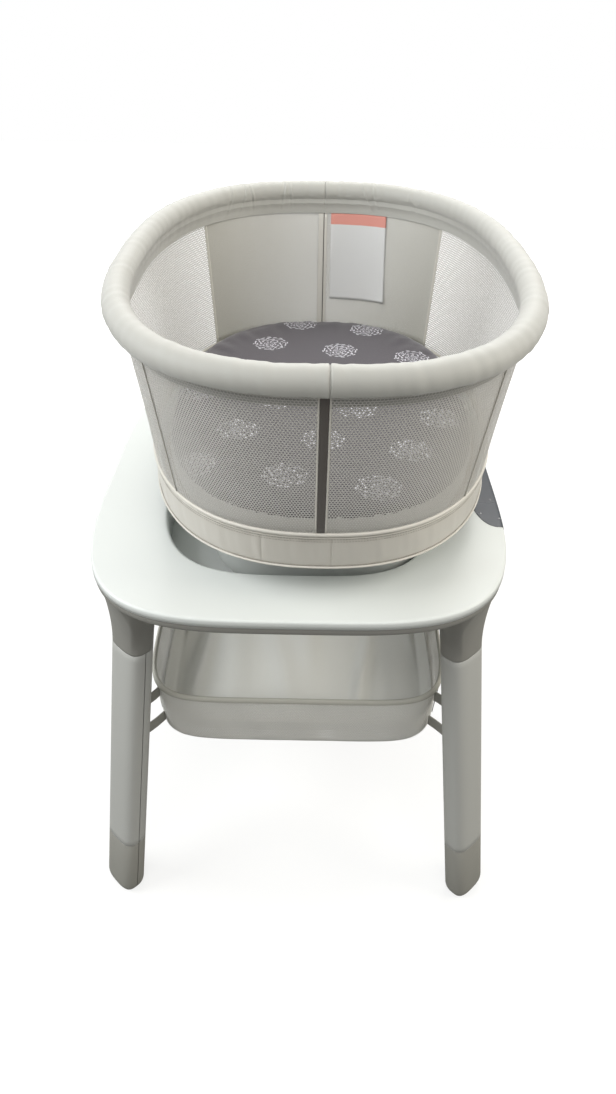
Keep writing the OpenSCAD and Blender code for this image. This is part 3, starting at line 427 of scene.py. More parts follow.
# ---- Legs and feet -------------------------------------------------------------------------
# Four hollow legs with a squarish oval section, in satin ABS, each plugged into its socket
# and locked by a snap button. A rounded grey cap with a hairline seam closes the lower end.
foot_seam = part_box("leg_front_left")[0].z
leg_top = neck_z - 0.0003
# The legs' satin is the deck's white plastic made darker: painted shade, since the legs stand in
# less light than the deck.
satin_leg_painted_shade = moulded("satin_leg_painted_shade", (0.415, 0.415, 0.390), (0.390, 0.390, 0.365), 0.42)
for corner, (sx, sy) in corners.items():
    profile = [(foot_seam, 0.0007), (foot_seam + 0.0007, 0.0), *[
        (z, 0.0) for z in np.linspace(foot_seam + 0.01, leg_top - 0.01, 12)],
        (leg_top - 0.0008, 0.0), (leg_top, 0.0008), (leg_top, 0.0045), (leg_top + 0.06, 0.0045)]
    rings = np.stack([leg_ring(leg_turn, z, inset, sx, sy) for z, inset in profile])
    leg = made("leg_tube_" + corner, grid_mesh("leg_tube", rings, caps=("low", "high")))
    fitted(leg, satin_leg_painted_shade, "stand", "shell_white", "leg_" + corner)

foot_parts = []
foot_top = foot_seam - 0.0003
for sx, sy in corners.values():
    rise = np.linspace(0, 1, 14)
    profile = [(0.017 * (1 - math.cos(t * math.pi / 2)), 0.0105 * (1 - math.sin(t * math.pi / 2)))
               for t in rise]
    profile += [(foot_top - 0.0007, 0.0), (foot_top, 0.0007), (foot_top, 0.010)]
    rings = np.stack([leg_ring(leg_turn, z, inset, sx, sy) for z, inset in profile])
    foot_parts.append(grid_mesh("foot", rings, caps=("low", "high")))
feet = made("foot_mouldings", *foot_parts)
foot_grey = moulded("foot_grey", (0.255, 0.250, 0.222), (0.237, 0.232, 0.206), 0.5, 0.00007)
fitted(feet, foot_grey, "stand", "shell_grey", "foot_caps")
foot_grey.on(*[nodes["button_" + corner] for corner in corners])

# ---- Control panel -------------------------------------------------------------------------
# A slate-black glossy sensor glass let into the deck's right edge and wrapped over it, with
# six tiny dark windows for the lamps and the green sensor board glued under it.
panel_low, panel_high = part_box("touch_panel")
panel_l = panel_high.y
panel_w = panel_high.x - panel_low.x
proud = 0.00045
u = np.sin(np.linspace(-np.pi / 2, np.pi / 2, 161)) * (panel_l - 0.0008)
inner_x = deck_w - panel_w * (1 - np.abs(u / panel_l) ** 3) ** (1 / 3)
outer_x = deck_w * (1 - np.abs(u / deck_l) ** deck_n) ** (1 / deck_n)
across = np.concatenate([[0.0, 0.012], np.linspace(0.04, 1, 24)])
top_x = inner_x[:, None] + (outer_x - edge_r - inner_x)[:, None] * across
top_z = np.full_like(top_x, deck_z + proud)
top_z[:, 0] = deck_z - 0.0008
top_z[:, 1] = deck_z + proud * 0.7
fold = np.radians(np.linspace(75, 0, 6))
side_x = outer_x[:, None] - edge_r + (edge_r + proud) * np.cos(fold)
side_z = np.broadcast_to(deck_z - edge_r + (edge_r + proud) * np.sin(fold), side_x.shape)
hem_x = np.stack([outer_x + proud, outer_x - 0.0006], 1)
hem_z = np.full_like(hem_x, deck_z - 0.0048)
glass_x = np.concatenate([top_x, side_x, hem_x], 1)
glass_z = np.concatenate([top_z, side_z, hem_z], 1)
glass_grid = np.stack([glass_x, np.broadcast_to(u[:, None], glass_x.shape), glass_z], -1)
glass = made("sensor_glass", grid_mesh("sensor_glass", glass_grid[:, ::-1]))
slate = Finish("slate_glass", Coat_Weight=0.1, Coat_Roughness=0.15, Specular_IOR_Level=0.3)
where = slate.place()
slate.colour(slate.mix(slate.noise(where, 12.0), (0.018, 0.023, 0.032), (0.024, 0.029, 0.038)))
smear = slate.noise(slate.place((1, 4, 1)), 18.0, 3.0)
slate.rough(smear, 0.22, 0.38)
slate.bump(slate.noise(where, 900.0), 0.00003, 0.2)
fitted(glass, slate, "stand", "panel_black", "touch_panel")

window_parts = []
for inset, y in ((0.010, 0.082), (0.029, 0.118), (0.005, 0.130)):
    for s in (-1, 1):
        spin = np.linspace(0, 2 * np.pi, 24, endpoint=False)
        lens = np.stack([np.stack([deck_w - inset + r * np.cos(spin), s * y + r * np.sin(spin),
                                   np.full(24, deck_z + proud + h)], -1)
                         for r, h in ((0.0022, -0.0002), (0.0021, 0.0001), (0.0017, 0.00018),
                                      (0.0009, 0.00012))])
        window_parts.append(grid_mesh("window", lens, caps=("low", "high")))
windows = made("lamp_windows", *window_parts)
smoked = Finish("smoked_lens", Roughness=0.12, Coat_Weight=0.6)
smoked.colour(smoked.mix(smoked.noise(smoked.place(), 400.0), (0.004, 0.004, 0.005),
                         (0.010, 0.010, 0.012)))
fitted(windows, smoked, "stand", "panel_black", "indicator_windows")

# ---- Drive tray and what it holds ----------------------------------------------------------
# Under the well: a grey glass-filled tray with the rails, the belt drive, the speaker, the
# boards and the inlet. It is seen only through the well's gap and from below.
tray_grey = moulded("tray_grey", (0.30, 0.30, 0.28), (0.26, 0.26, 0.245), 0.55, 0.00012)
tray_grey.on(nodes["drive_tray"], nodes["carriage_plate"])


def drawn_metal(name, bright, dull, roughness, scale=60.0, stretch=(0.03, 1, 1)):
    """Metal with fine lines drawn along one axis, in colour and in relief."""
    metal = Finish(name, Metallic=1.0)
    lines = metal.noise(metal.place(stretch), scale * 20, 3.0)
    metal.colour(metal.mix(lines, bright, dull))
    metal.rough(lines, roughness - 0.06, roughness + 0.1)
    metal.bump(lines, 0.00003, 0.4)
    return metal


rail_steel = drawn_metal("rail_steel", (0.62, 0.62, 0.63), (0.50, 0.50, 0.52), 0.24)
rail_steel.on(nodes["sway_rails"], nodes["drive_pulley"], nodes["idler_pulley"])
screw_steel = drawn_metal("screw_steel", (0.55, 0.55, 0.55), (0.42, 0.42, 0.43), 0.34, 90.0,
                          (1, 1, 1))
screw_steel.on(nodes["case_screws"], nodes["sway_motor"])

black_moulding = moulded("black_moulding", (0.022, 0.022, 0.025), (0.034, 0.034, 0.037), 0.45)
black_moulding.on(nodes["power_inlet"], nodes["speaker"])
rubber = Finish("belt_rubber", Specular_IOR_Level=0.3)
ribs = rubber.node("TexWave", out=1, wave_type="BANDS", bands_direction="X",
                   inputs={0: rubber.place(), 1: 160.0})
rubber.colour(rubber.mix(ribs, (0.012, 0.012, 0.012), (0.026, 0.026, 0.026)))
rubber.rough(ribs, 0.6, 0.85)
rubber.bump(ribs, 0.0004, 0.6)
rubber.on(nodes["sway_belt"])
board = Finish("circuit_board", Roughness=0.35, Coat_Weight=0.3)
where = board.place()
tracks = board.node("TexBrick", out=1, inputs={0: where, 4: 90.0, 5: 0.06})
board.colour(board.mix(tracks, (0.010, 0.085, 0.045), (0.035, 0.16, 0.085)))
board.bump(tracks, 0.0001, 0.5)
board.on(nodes["main_board"], nodes["panel_board"])

# ---- Storage basket ------------------------------------------------------------------------
# A soft basket hung between the legs: a satin liner that lies in loose folds on the floor, a
# knitted mesh wall with a bound hem and bound corners, and webbing straps sewn to the legs.


def lengths(face, ring=False):
    """Metres along the rows and up the columns of a grid of points, averaged over it."""
    if ring:
        face = np.concatenate([face, face[:, :1]], 1)
    along = np.linalg.norm(np.diff(face, axis=1), axis=2).mean(0)
    up = np.linalg.norm(np.diff(face, axis=0), axis=2).mean(1)
    return np.concatenate([[0], np.cumsum(along)]), np.concatenate([[0], np.cumsum(up)])


def cloth_sheet(name, face, back, ring=False):
    """A closed cloth between two grids of points: quads on the face, the same quads turned
    round on the back, and a strip that joins them along each free edge. Its UV map is in
    metres along the rows and up the columns."""
    rows, columns = face.shape[:2]
    u, v = lengths(face, ring)
    uv = np.stack(np.meshgrid(u, v), -1)
    i, j = np.meshgrid(np.arange(rows - 1), np.arange(columns - (not ring)), indexing="ij")

    def corner(i, j):
        return i * columns + j % columns, uv[i, j]

    quads = [corner(i, j), corner(i, j + 1), corner(i + 1, j + 1), corner(i + 1, j)]
    index = np.stack([q[0] for q in quads], -1).reshape(-1, 4)
    place = np.stack([q[1] for q in quads], 2).reshape(-1, 4, 2)
    across = np.arange(columns - (not ring))
    last = rows - 1
    edges = [(corner(0 * across, across + 1), corner(0 * across, across)),
             (corner(0 * across + last, across), corner(0 * across + last, across + 1))]
    if not ring:
        up = np.arange(last)
        right = 0 * up + columns - 1
        edges += [(corner(up, 0 * up), corner(up + 1, 0 * up)),
                  (corner(up + 1, right), corner(up, right))]
    shift = rows * columns
    faces = [index, index[:, ::-1] + shift]
    places = [place, place[:, ::-1]]
    for (a, place_a), (b, place_b) in edges:
        faces.append(np.stack([a, b, b + shift, a + shift], -1))
        places.append(np.stack([place_a, place_b, place_b, place_a], 1))
    points = np.concatenate([face.reshape(-1, 3), back.reshape(-1, 3)])
    return new_mesh(name, points, np.concatenate(faces).tolist(), np.concatenate(places))


def tube(name, path, out, radius, sides=8, ring=False, flat=1.0):
    """A round cord along a path: circles across it that start along the unit vectors given
    as out, pressed to a share of their width along those where flat is below 1."""
    ends = np.concatenate([path[-1:], path, path[:1]]) if ring else path
    along = np.gradient(ends, axis=0)[1:-1] if ring else np.gradient(path, axis=0)
    along /= np.linalg.norm(along, axis=1)[:, None]
    out = out - (out * along).sum(1)[:, None] * along
    out /= np.linalg.norm(out, axis=1)[:, None]
    up = np.cross(along, out)
    spin = np.linspace(0, 2 * np.pi, sides, endpoint=False)
    rings = path[:, None] + radius * (flat * np.cos(spin)[None, :, None] * out[:, None]
                                      + np.sin(spin)[None, :, None] * up[:, None])
    steps = np.linalg.norm(np.diff(np.concatenate([path, path[:1]]), axis=0), axis=1)
    v = np.concatenate([[0], np.cumsum(steps if ring else steps[:-1])])
    uv = np.stack(np.meshgrid(np.linspace(0, 2 * np.pi * radius, sides + 1), v), -1)
    return grid_mesh(name, rings, wrap=(ring, True), uv=uv,
                     caps=() if ring else ("low", "high"))


def stitches(name, path, out, pitch, length, radius):
    """A row of threads along a path: each is a spindle of four rings of five points, thick
    in its middle and sunk into the cloth at its ends."""
    steps = np.linalg.norm(np.diff(path, axis=0), axis=1)
    run = np.concatenate([[0], np.cumsum(steps)])
    at = np.arange(pitch / 2, run[-1], pitch)
    middle = np.stack([np.interp(at, run, path[:, k]) for k in range(3)], -1)
    outward = np.stack([np.interp(at, run, out[:, k]) for k in range(3)], -1)
    along = np.stack([np.interp(at + 0.001, run, path[:, k]) for k in range(3)], -1) - middle
    along /= np.linalg.norm(along, axis=1)[:, None] + 1e-12
    up = np.cross(along, outward)
    share = np.array([-0.5, -0.28, 0.28, 0.5])
    thick = np.array([0.15, 1.0, 1.0, 0.15])
    sink = np.array([-0.9, 0.25, 0.25, -0.9])
    spin = np.linspace(0, 2 * np.pi, 5, endpoint=False)
    rings = (middle[:, None, None] + along[:, None, None] * (share * length)[None, :, None, None]
             + outward[:, None, None] * (sink * radius)[None, :, None, None]
             + radius * thick[None, :, None, None]
             * (np.cos(spin)[None, None, :, None] * outward[:, None, None]
                + np.sin(spin)[None, None, :, None] * up[:, None, None]))
    count = len(at)
    base = (np.arange(count) * 20)[:, None, None]
    row, col = np.meshgrid(np.arange(3), np.arange(5), indexing="ij")
    quad = np.stack([row * 5 + col, row * 5 + (col + 1) % 5, (row + 1) * 5 + (col + 1) % 5,
                     (row + 1) * 5 + col], -1).reshape(1, -1, 4)
    return new_mesh(name, rings.reshape(-1, 3), (base + quad).reshape(-1, 4).tolist())


def woven(name, colour, shade, pitch, roughness, depth, sheen=0.15, cloudy=5.0):
    """Plain weave on the piece's UV map in metres: threads that rise and fall in a
    chequer of the given pitch, over a cloth whose tone drifts."""
    cloth = Finish(name, Sheen_Weight=sheen, Sheen_Roughness=0.5, Specular_IOR_Level=0.3)
    u, v, _ = cloth.axes(cloth.place(uv=True))
    thread = cloth.weave(u, v, pitch)
    drift = cloth.noise(cloth.place(), cloudy, 3.0)
    share = cloth.math("MULTIPLY_ADD", thread, 0.35, cloth.times(drift, 0.65))
    cloth.colour(cloth.mix(share, shade, colour))
    cloth.rough(share, roughness + 0.08, roughness - 0.05)
    cloth.bump(thread, depth, 0.5)
    return cloth


def knitted(name, colour, shade, pitch, hole):
    """Hexagonal mesh cloth on the UV map in metres: the distance to the nearest of two
    interlocked lattices of hole centres opens a round hole, and thread is left between."""
    cloth = Finish(name, Roughness=0.6, Sheen_Weight=0.2, Specular_IOR_Level=0.3)
    u, v, _ = cloth.axes(cloth.place(uv=True))
    rise = pitch * math.sqrt(3)

    def away(shift):
        """Distance to the middle of the cell of a lattice that starts at the shift."""
        halves = []
        for axis, size in ((u, pitch), (v, rise)):
            spot = cloth.plus(axis, 10.0 + shift * size)
            inside = cloth.less(cloth.math("FLOORED_MODULO", spot, size), size / 2)
            halves.append(cloth.math("POWER", cloth.math("ABSOLUTE", inside), 2.0))
        return cloth.math("SQRT", cloth.plus(*halves))

    near = cloth.math("MINIMUM", away(0.0), away(0.5))
    thread = cloth.step(near, hole * 0.82, hole * 1.12)
    drift = cloth.noise(cloth.place(), 8.0, 3.0)
    cloth.colour(cloth.mix(cloth.times(thread, cloth.math(
        "MULTIPLY_ADD", drift, 0.5, 0.5)), shade, colour))
    cloth.feed(cloth.shader.inputs["Alpha"], thread)
    cloth.bump(near, 0.0003, 0.35)
    return cloth


hem_low, hem_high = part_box("basket_hem")
hem_z = (hem_low.z + hem_high.z) / 2
hem_r = (hem_high.z - hem_low.z) / 2
basket_w, basket_l = hem_high.x - hem_r + 0.001, hem_high.y - hem_r + 0.001
liner_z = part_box("basket_floor")[1].z
basket_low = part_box("basket_mesh")[0].z
basket_n, basket_taper, taper_z = 7.0, 0.006, 0.25


def basket_ring(theta, z, inset):
    """A squarish oval that narrows a little towards the floor."""
    drop = np.clip((hem_z - z) / (hem_z - taper_z), 0, 1) * basket_taper
    return raised(oval(theta, basket_w - drop - inset, basket_l - drop - inset, basket_n), z)


def liner_height(x, y, edge):
    """Ridges that run from foot to head: each is a rounded ridge whose line wanders and
    whose height swells and fades, and the cloth turns up where it meets the wall."""
    fold_draw = np.random.default_rng(11)
    height = np.zeros_like(x)
    for place in np.linspace(-0.19, 0.18, 11):
        width, tall = fold_draw.uniform(0.010, 0.024), fold_draw.uniform(0.004, 0.012)
        wander, phase = fold_draw.uniform(0.008, 0.03), fold_draw.uniform(0, 6.28)
        line = place + wander * np.sin(9 * y + phase)
        swell = 0.5 + 0.5 * np.cos(13 * y + 2.3 * phase)
        height += tall * swell * np.exp(-((x - line) / width) ** 2)
    flatten = np.clip((1 - edge) / 0.12, 0, 1)
    turned = np.clip((edge - 0.93) / 0.07, 0, 1)
    return 0.0006 + height * flatten * flatten * (3 - 2 * flatten) + 0.034 * turned ** 2


side_u = np.sin(np.linspace(-np.pi / 2, np.pi / 2, 181)) * 0.35 + np.linspace(-1, 1, 181) * 0.65
side_v = np.sin(np.linspace(-np.pi / 2, np.pi / 2, 141)) * 0.35 + np.linspace(-1, 1, 141) * 0.65
u, v = np.meshgrid(side_u, side_v)
squareness = np.maximum(np.abs(u), np.abs(v))
pull = squareness / np.maximum((np.abs(u) ** basket_n + np.abs(v) ** basket_n), 1e-9) ** (
    1 / basket_n)
liner_x = u * pull * (basket_w - 0.0098)
liner_y = v * pull * (basket_l - 0.0098)
liner_top = liner_z + liner_height(liner_x, liner_y, squareness)
liner_face = np.stack([liner_x, liner_y, liner_top], -1)
liner_back = np.stack([liner_x * 1.002, liner_y * 1.002, liner_top - 0.0009], -1)
liner = made("basket_liner", cloth_sheet("basket_liner", liner_face, liner_back))
# The liner's satin is set lighter than the other off-white cloths: painted light to make up for the
# shade under the deck.
satin = woven("liner_satin_painted_light", (0.78, 0.78, 0.74), (0.70, 0.70, 0.66), 0.0007, 0.34, 0.00006, 0.1)
fitted(liner, satin, "stand", "fabric_white", "basket_floor")

wall_profile = [(basket_low, 0.040), (basket_low, 0.024), (basket_low + 0.0001, 0.0085)]
wall_profile += [(basket_low + 0.0085 * (1 - math.cos(a)), 0.0085 * (1 - math.sin(a)))
                 for a in np.radians([20, 40, 60, 80])]
wall_profile += [(z, 0.0) for z in np.linspace(basket_low + 0.011, hem_z - 0.001, 16)]
basket_turn = np.linspace(0, 2 * np.pi, 420, endpoint=False)


def basket_cloth(depth):
    """The mesh wall's rings at a depth under its face, with slack waves between floor and
    hem that fade out at both edges."""
    rings = []
    for z, inset in wall_profile:
        slack = math.sin(math.pi * min(max((z - basket_low) / (hem_z - basket_low), 0), 1))
        ring = basket_ring(basket_turn, z, inset + depth)
        out = np.stack([np.cos(basket_turn), np.sin(basket_turn)], -1)
        wave = -0.0012 - 0.0011 * np.sin(9 * basket_turn + 1) - 0.0008 * np.sin(
            23 * basket_turn + 30 * z)
        ring[:, :2] += out * (wave * slack)[:, None]
        rings.append(ring)
    return np.stack(rings)


basket_face = basket_cloth(0.0)
basket_wall = made("basket_wall", cloth_sheet("basket_wall", basket_face, basket_cloth(0.0008),
                                              ring=True))
wall_mesh = knitted("basket_mesh_cloth", (0.80, 0.79, 0.74), (0.60, 0.59, 0.55), 0.0036, 0.00108)
fitted(basket_wall, wall_mesh, "stand", "mesh_fabric", "basket_mesh")

hem_rings = np.stack([
    raised(oval(basket_turn, basket_w - 0.001 + o, basket_l - 0.001 + o, basket_n), hem_z + h)
    for o, h in [(0.0031 * np.cos(a), -0.0048 * np.sin(-a)) for a in
                 np.linspace(-np.pi / 2, 1.5 * np.pi, 18, endpoint=False)]])
hem_u, _ = lengths(hem_rings, ring=True)
hem_uv = np.stack(np.meshgrid(hem_u, np.linspace(0, 0.025, 19)), -1)
basket_hem = made("basket_hem_binding", grid_mesh("basket_hem", hem_rings, (True, True), hem_uv))
binding = woven("binding_tape", (0.50, 0.49, 0.43), (0.40, 0.39, 0.34), 0.0011, 0.6, 0.00012)
fitted(basket_hem, binding, "stand", "fabric_white", "basket_hem")

strap_low, strap_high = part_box("basket_straps")
strap_w, strap_half_t, strap_bow = 0.018, 0.0008, 0.0016
strap_parts, corner_parts = [], []
for sx, sy in corners.values():
    for z in (strap_low.z + strap_w / 2, strap_high.z - strap_w / 2):
        centre = leg_centre(z, sx, sy)
        way = centre / np.linalg.norm(centre)
        drop = basket_taper * (hem_z - z) / (hem_z - taper_z)
        start = float(reach(np.zeros(2), way[None], basket_w - drop, basket_l - drop,
                            basket_n)[0]) + 0.0004
        leg_side = leg_ring(leg_turn, z, 0.0, sx, sy)[:, :2] @ way
        stop = float(leg_side.min()) - 0.0002
        t = np.linspace(0, 1, 13)
        side_way = np.array([-way[1], way[0]])
        bow = strap_bow * np.sin(np.pi * t)
        centre_line = (way * (start + (stop - start) * t)[:, None]
                       + side_way * bow[:, None])
        height = np.linspace(-strap_w / 2, strap_w / 2, 7)
        faces = []
        for lift in (strap_half_t, -strap_half_t):
            flat = centre_line + side_way * lift
            grid = np.concatenate([np.broadcast_to(flat, (7, 13, 2)),
                                   np.broadcast_to((z + height)[:, None, None], (7, 13, 1))], -1)
            faces.append(grid[:, ::-1])
        strap_parts.append(cloth_sheet("strap", *faces))
    spin = math.atan2(sy / basket_l, sx / basket_w)
    arc = spin + np.linspace(-0.0042, 0.0042, 5)
    levels = np.linspace(basket_low + 0.009, hem_z - 0.004, 12)
    corner_parts.append(cloth_sheet("corner", *[
        np.stack([basket_ring(arc, z, inset) for z in levels]) for inset in (-0.0011, -0.0002)]))
straps = made("basket_webbing", *strap_parts)
webbing = woven("webbing", (0.36, 0.35, 0.31), (0.24, 0.235, 0.21), 0.0016, 0.7, 0.00025)
fitted(straps, webbing, "stand", "fabric_white", "basket_straps")
corner_tape = made("basket_corner_tape", *corner_parts)
fitted(corner_tape, webbing, "stand", "fabric_white")

# ---- Carriage and lift ---------------------------------------------------------------------
# What slides and lifts: bronze bushes and nut, ground steel posts and screw, a small gear
# motor, and the moulded belt clamp. All of it works inside the tray and the pedestal.
bronze = drawn_metal("bearing_bronze", (0.50, 0.36, 0.17), (0.38, 0.27, 0.12), 0.32, 70.0,
                     (1, 1, 0.1))
bronze.on(nodes["rail_bushes"], nodes["post_bushes"], nodes["lift_nut"])
post_steel = drawn_metal("post_steel", (0.60, 0.60, 0.61), (0.47, 0.47, 0.49), 0.22, 60.0,
                         (1, 1, 0.03))
post_steel.on(nodes["guide_posts"], nodes["tub_screws"])
thread_steel = Finish("thread_steel", Metallic=1.0)
_, _, up_axis = thread_steel.axes(thread_steel.place())
turns = thread_steel.waves(up_axis, 0.002)
thread_steel.colour(thread_steel.mix(turns, (0.36, 0.36, 0.37), (0.58, 0.58, 0.6)))
thread_steel.rough(turns, 0.4, 0.22, low=-1.0)
thread_steel.bump(turns, 0.0004, 0.8)
thread_steel.on(nodes["lift_screw"])
black_moulding.on(nodes["lift_motor"], nodes["belt_clamp"])

# ---- Pedestal and pan ----------------------------------------------------------------------
# The moving cup in the well and the dished pan on top of it, both in the deck's satin white
# ABS. The pan is screwed down to the cup, and a fibre board lies in it under the mattress.
cap_low, cap_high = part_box("pedestal_cap")
tub_x = (cap_low.x + cap_high.x) / 2
cap_w, cap_l = cap_high.x - tub_x, cap_high.y
cup = [(0.0034, cap_high.z - 0.004), (0.003, cap_high.z - 0.0045), (0.003, cap_low.z),
       (0.0026, cap_low.z), (0.0006, cap_low.z), (0.0, cap_low.z + 0.0006),
       (0.0, cap_high.z - 0.03), (0.0, cap_high.z - 0.004)]
cup += round_edge(0.0035, cap_high.z - 0.0035, 0.0035, 10, 90, 6)
cup += [(0.03, cap_high.z)]
cup_rings = oval_rings(turn, [(cap_w - i, cap_l - i, z) for i, z in cup], well_n, tub_x)
pedestal = made("pedestal_moulding", grid_mesh("pedestal", cup_rings, (False, True),
                                               caps=("low", "high")))
satin_white.on(nodes["well_floor"])
fitted(pedestal, satin_white, "tub", "shell_white", "pedestal_cap")

band_low, band_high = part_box("base_band")
rim_low, rim_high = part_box("rim_tube_rear")
rim_z = (rim_low.z + rim_high.z) / 2
tube_r = (rim_high.z - rim_low.z) / 2
rim_w = rim_high.x - tube_r - tub_x
rim_l = rim_high.y - tube_r
band_w, band_l = band_high.x - tub_x, band_high.y
band_flare, band_n, rim_n = 0.008, 2.35, 2.5


def wall_half(z):
    """Half width, half length and squareness of the tub's skin at a height: straight lines
    from the band's lower edge to its upper edge, and on to the rim."""
    levels = [band_low.z, band_high.z, rim_z]
    return (np.interp(z, levels, [band_w, band_w, rim_w]),
            np.interp(z, levels, [band_l - band_flare, band_l, rim_l]),
            np.interp(z, [band_low.z, rim_z], [band_n, rim_n]))


def wall_ring(theta, z, out=0.0):
    """The tub's skin at a height, moved outwards by a distance or by one for each point."""
    a, b, n = wall_half(z)
    flat = oval(theta, a, b, n)
    way = np.stack([flat[:, 0] / a ** 2, flat[:, 1] / b ** 2], -1)
    way /= np.linalg.norm(way, axis=1)[:, None]
    return raised(flat + way * np.broadcast_to(out, len(theta))[:, None] + (tub_x, 0), z)


pan_floor = cap_high.z
pan_low = pan_floor - 0.012
pan_skin = 0.0033
dish = [(pan_floor, 0.013), (pan_low, 0.0118), (pan_low + 0.0004, 0.0098)]
dish += [(pan_low + 0.0048 * t, 0.0098 - 0.0062 * math.sin(t * math.pi / 2))
         for t in np.linspace(0.2, 1, 5)]
dish += [(z, pan_skin) for z in np.linspace(pan_low + 0.008, band_high.z - 0.0054, 6)]
dish += [(band_high.z - 0.005, pan_skin + 0.0006), (band_high.z - 0.005, pan_skin + 0.0026),
         (pan_floor + 0.006, pan_skin + 0.003), (pan_floor + 0.003, pan_skin + 0.006)]
pan_rings = np.stack([wall_ring(turn, z, -inset) for z, inset in dish])
pan = made("pan_moulding", grid_mesh("pan", pan_rings, (False, True), caps=("low", "high")))
fitted(pan, satin_white, "tub", "shell_white", "tub_pan")

fibre = Finish("fibre_board", Roughness=0.85)
flecks = fibre.noise(fibre.place((1, 0.3, 1)), 700.0, 3.0)
fibre.colour(fibre.mix(flecks, (0.36, 0.27, 0.17), (0.50, 0.40, 0.27)))
fibre.bump(flecks, 0.0002, 0.4)
fibre.on(nodes["mattress_board"])

# ---- Base band -----------------------------------------------------------------------------
# A lightly padded band of coated cloth pulled round the pan: piped and twin-stitched along
# its top, corded along its lower edge, with two sewn joints at the foot end and one behind.
joint_size = 0.3
joint_at = [(0.013, -1, 0.0010), (-0.068, -1, 0.0005), (0.003, 1, 0.0010)]


def joint_angle(x, s, a, b, n):
    """Direction angle of the point of an oval at a distance x from its middle line."""
    y = s * b * (1 - abs(x / a) ** n) ** (1 / n)
    return math.atan2(y / b, x / a)


joints = [(joint_angle(x, s, band_w, band_l, band_n), depth) for x, s, depth in joint_at]
fine_step = np.concatenate([-np.geomspace(0.03, 0.0012, 8), [0], np.geomspace(0.0012, 0.03, 8)])
band_turn = np.unique(np.concatenate([turn, *[(a + fine_step) % (2 * np.pi)
                                              for a, _ in joints]]).round(6))


def turned(theta, angle):
    """The angle from one direction to another, between half a turn either way."""
    return (theta - angle + np.pi) % (2 * np.pi) - np.pi


def groove(theta):
    """Sewn joints as narrow dips with a soft swell on both sides of each."""
    dip = np.zeros_like(theta)
    for angle, depth in joints:
        away = np.abs(turned(theta, angle)) * joint_size
        dip += depth * (0.45 * np.exp(-(away / 0.009) ** 2) - 1.45 * np.exp(-(away / 0.0016) ** 2))
    return dip


puff_draw = np.random.default_rng(5).uniform(0, 6.28, 6)
band_levels = np.linspace(0, 1, 15)
band_face = []
for t in band_levels:
    bulge = 0.0016 * np.sin(np.pi * t) ** 0.7 if 0 < t < 1 else 0.0
    pucker = sum(0.00016 * np.sin(k * band_turn + p + 3 * t) for k, p in zip(
        (17, 29, 43, 61, 90, 131), puff_draw))
    swell = math.sin(math.pi * t)
    z = band_low.z + (band_high.z - band_low.z) * t
    band_face.append(wall_ring(band_turn, z, -0.0012 + bulge + (pucker + groove(band_turn)) * (
        0.25 + 0.75 * swell)))
band_face = np.stack(band_face)
band_back = np.stack([wall_ring(band_turn, z, -0.0030) for z in band_face[:, 0, 2]])
band = made("base_band_cloth", cloth_sheet("base_band", band_face, band_back, ring=True))
# The coated cloth's colour is set darker than the off-white fabric: painted shade from the rim
# above the band.
coated = woven("coated_cloth_painted_shade", (0.60, 0.575, 0.515), (0.53, 0.505, 0.45), 0.0006, 0.48, 0.00004,
               0.25)
fitted(band, coated, "tub", "fabric_white", "base_band")

piping_z = (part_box("band_piping")[0].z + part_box("band_piping")[1].z) / 2
piping_out = wall_ring(turn, piping_z, 1.0) - wall_ring(turn, piping_z)
piping = made("band_piping_cord", tube("band_piping", wall_ring(turn, piping_z, -0.0002),
                                       piping_out, 0.0025, 12, ring=True))
cord_cloth = woven("piping_cloth", (0.68, 0.655, 0.59), (0.60, 0.575, 0.52), 0.0006, 0.5, 0.00005)
fitted(piping, cord_cloth, "tub", "fabric_white", "band_piping")
edge_cords = made(
    "band_edge_cord",
    tube("lower_cord", wall_ring(turn, band_low.z + 0.0017, 0.0004), piping_out, 0.0014, 8, True),
    tube("upper_cord", wall_ring(turn, band_high.z - 0.0032, -0.0002), piping_out, 0.0010, 8,
         True))
fitted(edge_cords, cord_cloth, "tub", "fabric_white")


def spun(name, dark, light):
    """Sewing thread, mottled along its length."""
    thread = Finish(name, Roughness=0.6, Sheen_Weight=0.2)
    thread.colour(thread.mix(thread.noise(thread.place(), 900.0), dark, light))
    return thread


seam_thread = spun("seam_thread", (0.27, 0.25, 0.21), (0.40, 0.37, 0.32))


def closed(path):
    return np.concatenate([path, path[:1]])


band_rows = [stitches("row", closed(wall_ring(turn, z, o)), closed(piping_out), 0.0034, 0.0027,
                      0.00042)
             for z, o in ((band_high.z - 0.0052, -0.0002), (band_high.z - 0.0086, 0.0000),
                          (band_low.z + 0.0044, -0.0001))]
band_thread = made("band_stitching", *band_rows)
fitted(band_thread, seam_thread, "tub", "fabric_white")

# ---- Mesh walls ----------------------------------------------------------------------------
# Six panels of warp-knitted mesh stretched between the piping and the rim, of a closer knit
# at the head end. Piped seams join them at the corners, and the end struts at the middle.
mesh_low, mesh_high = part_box("mesh_side_left")
mesh_levels = np.linspace(mesh_low.z - 0.0006, mesh_high.z, 22)
corner_angle = math.atan(math.tan(math.radians(44.0)) ** (2 / 2.42))
seam_half = 0.0022


def wall_cloth(theta, depth):
    """Rings of a taut panel: it draws in a little between its four edges."""
    share = (mesh_levels - mesh_levels[0]) / (mesh_levels[-1] - mesh_levels[0])
    edge = (theta - theta[0]) / (theta[-1] - theta[0])
    hollow = 0.0016 * (4 * edge * (1 - edge)) ** 0.6
    return np.stack([wall_ring(theta, z, -depth - hollow * math.sin(math.pi * t))
                     for z, t in zip(mesh_levels, share)])


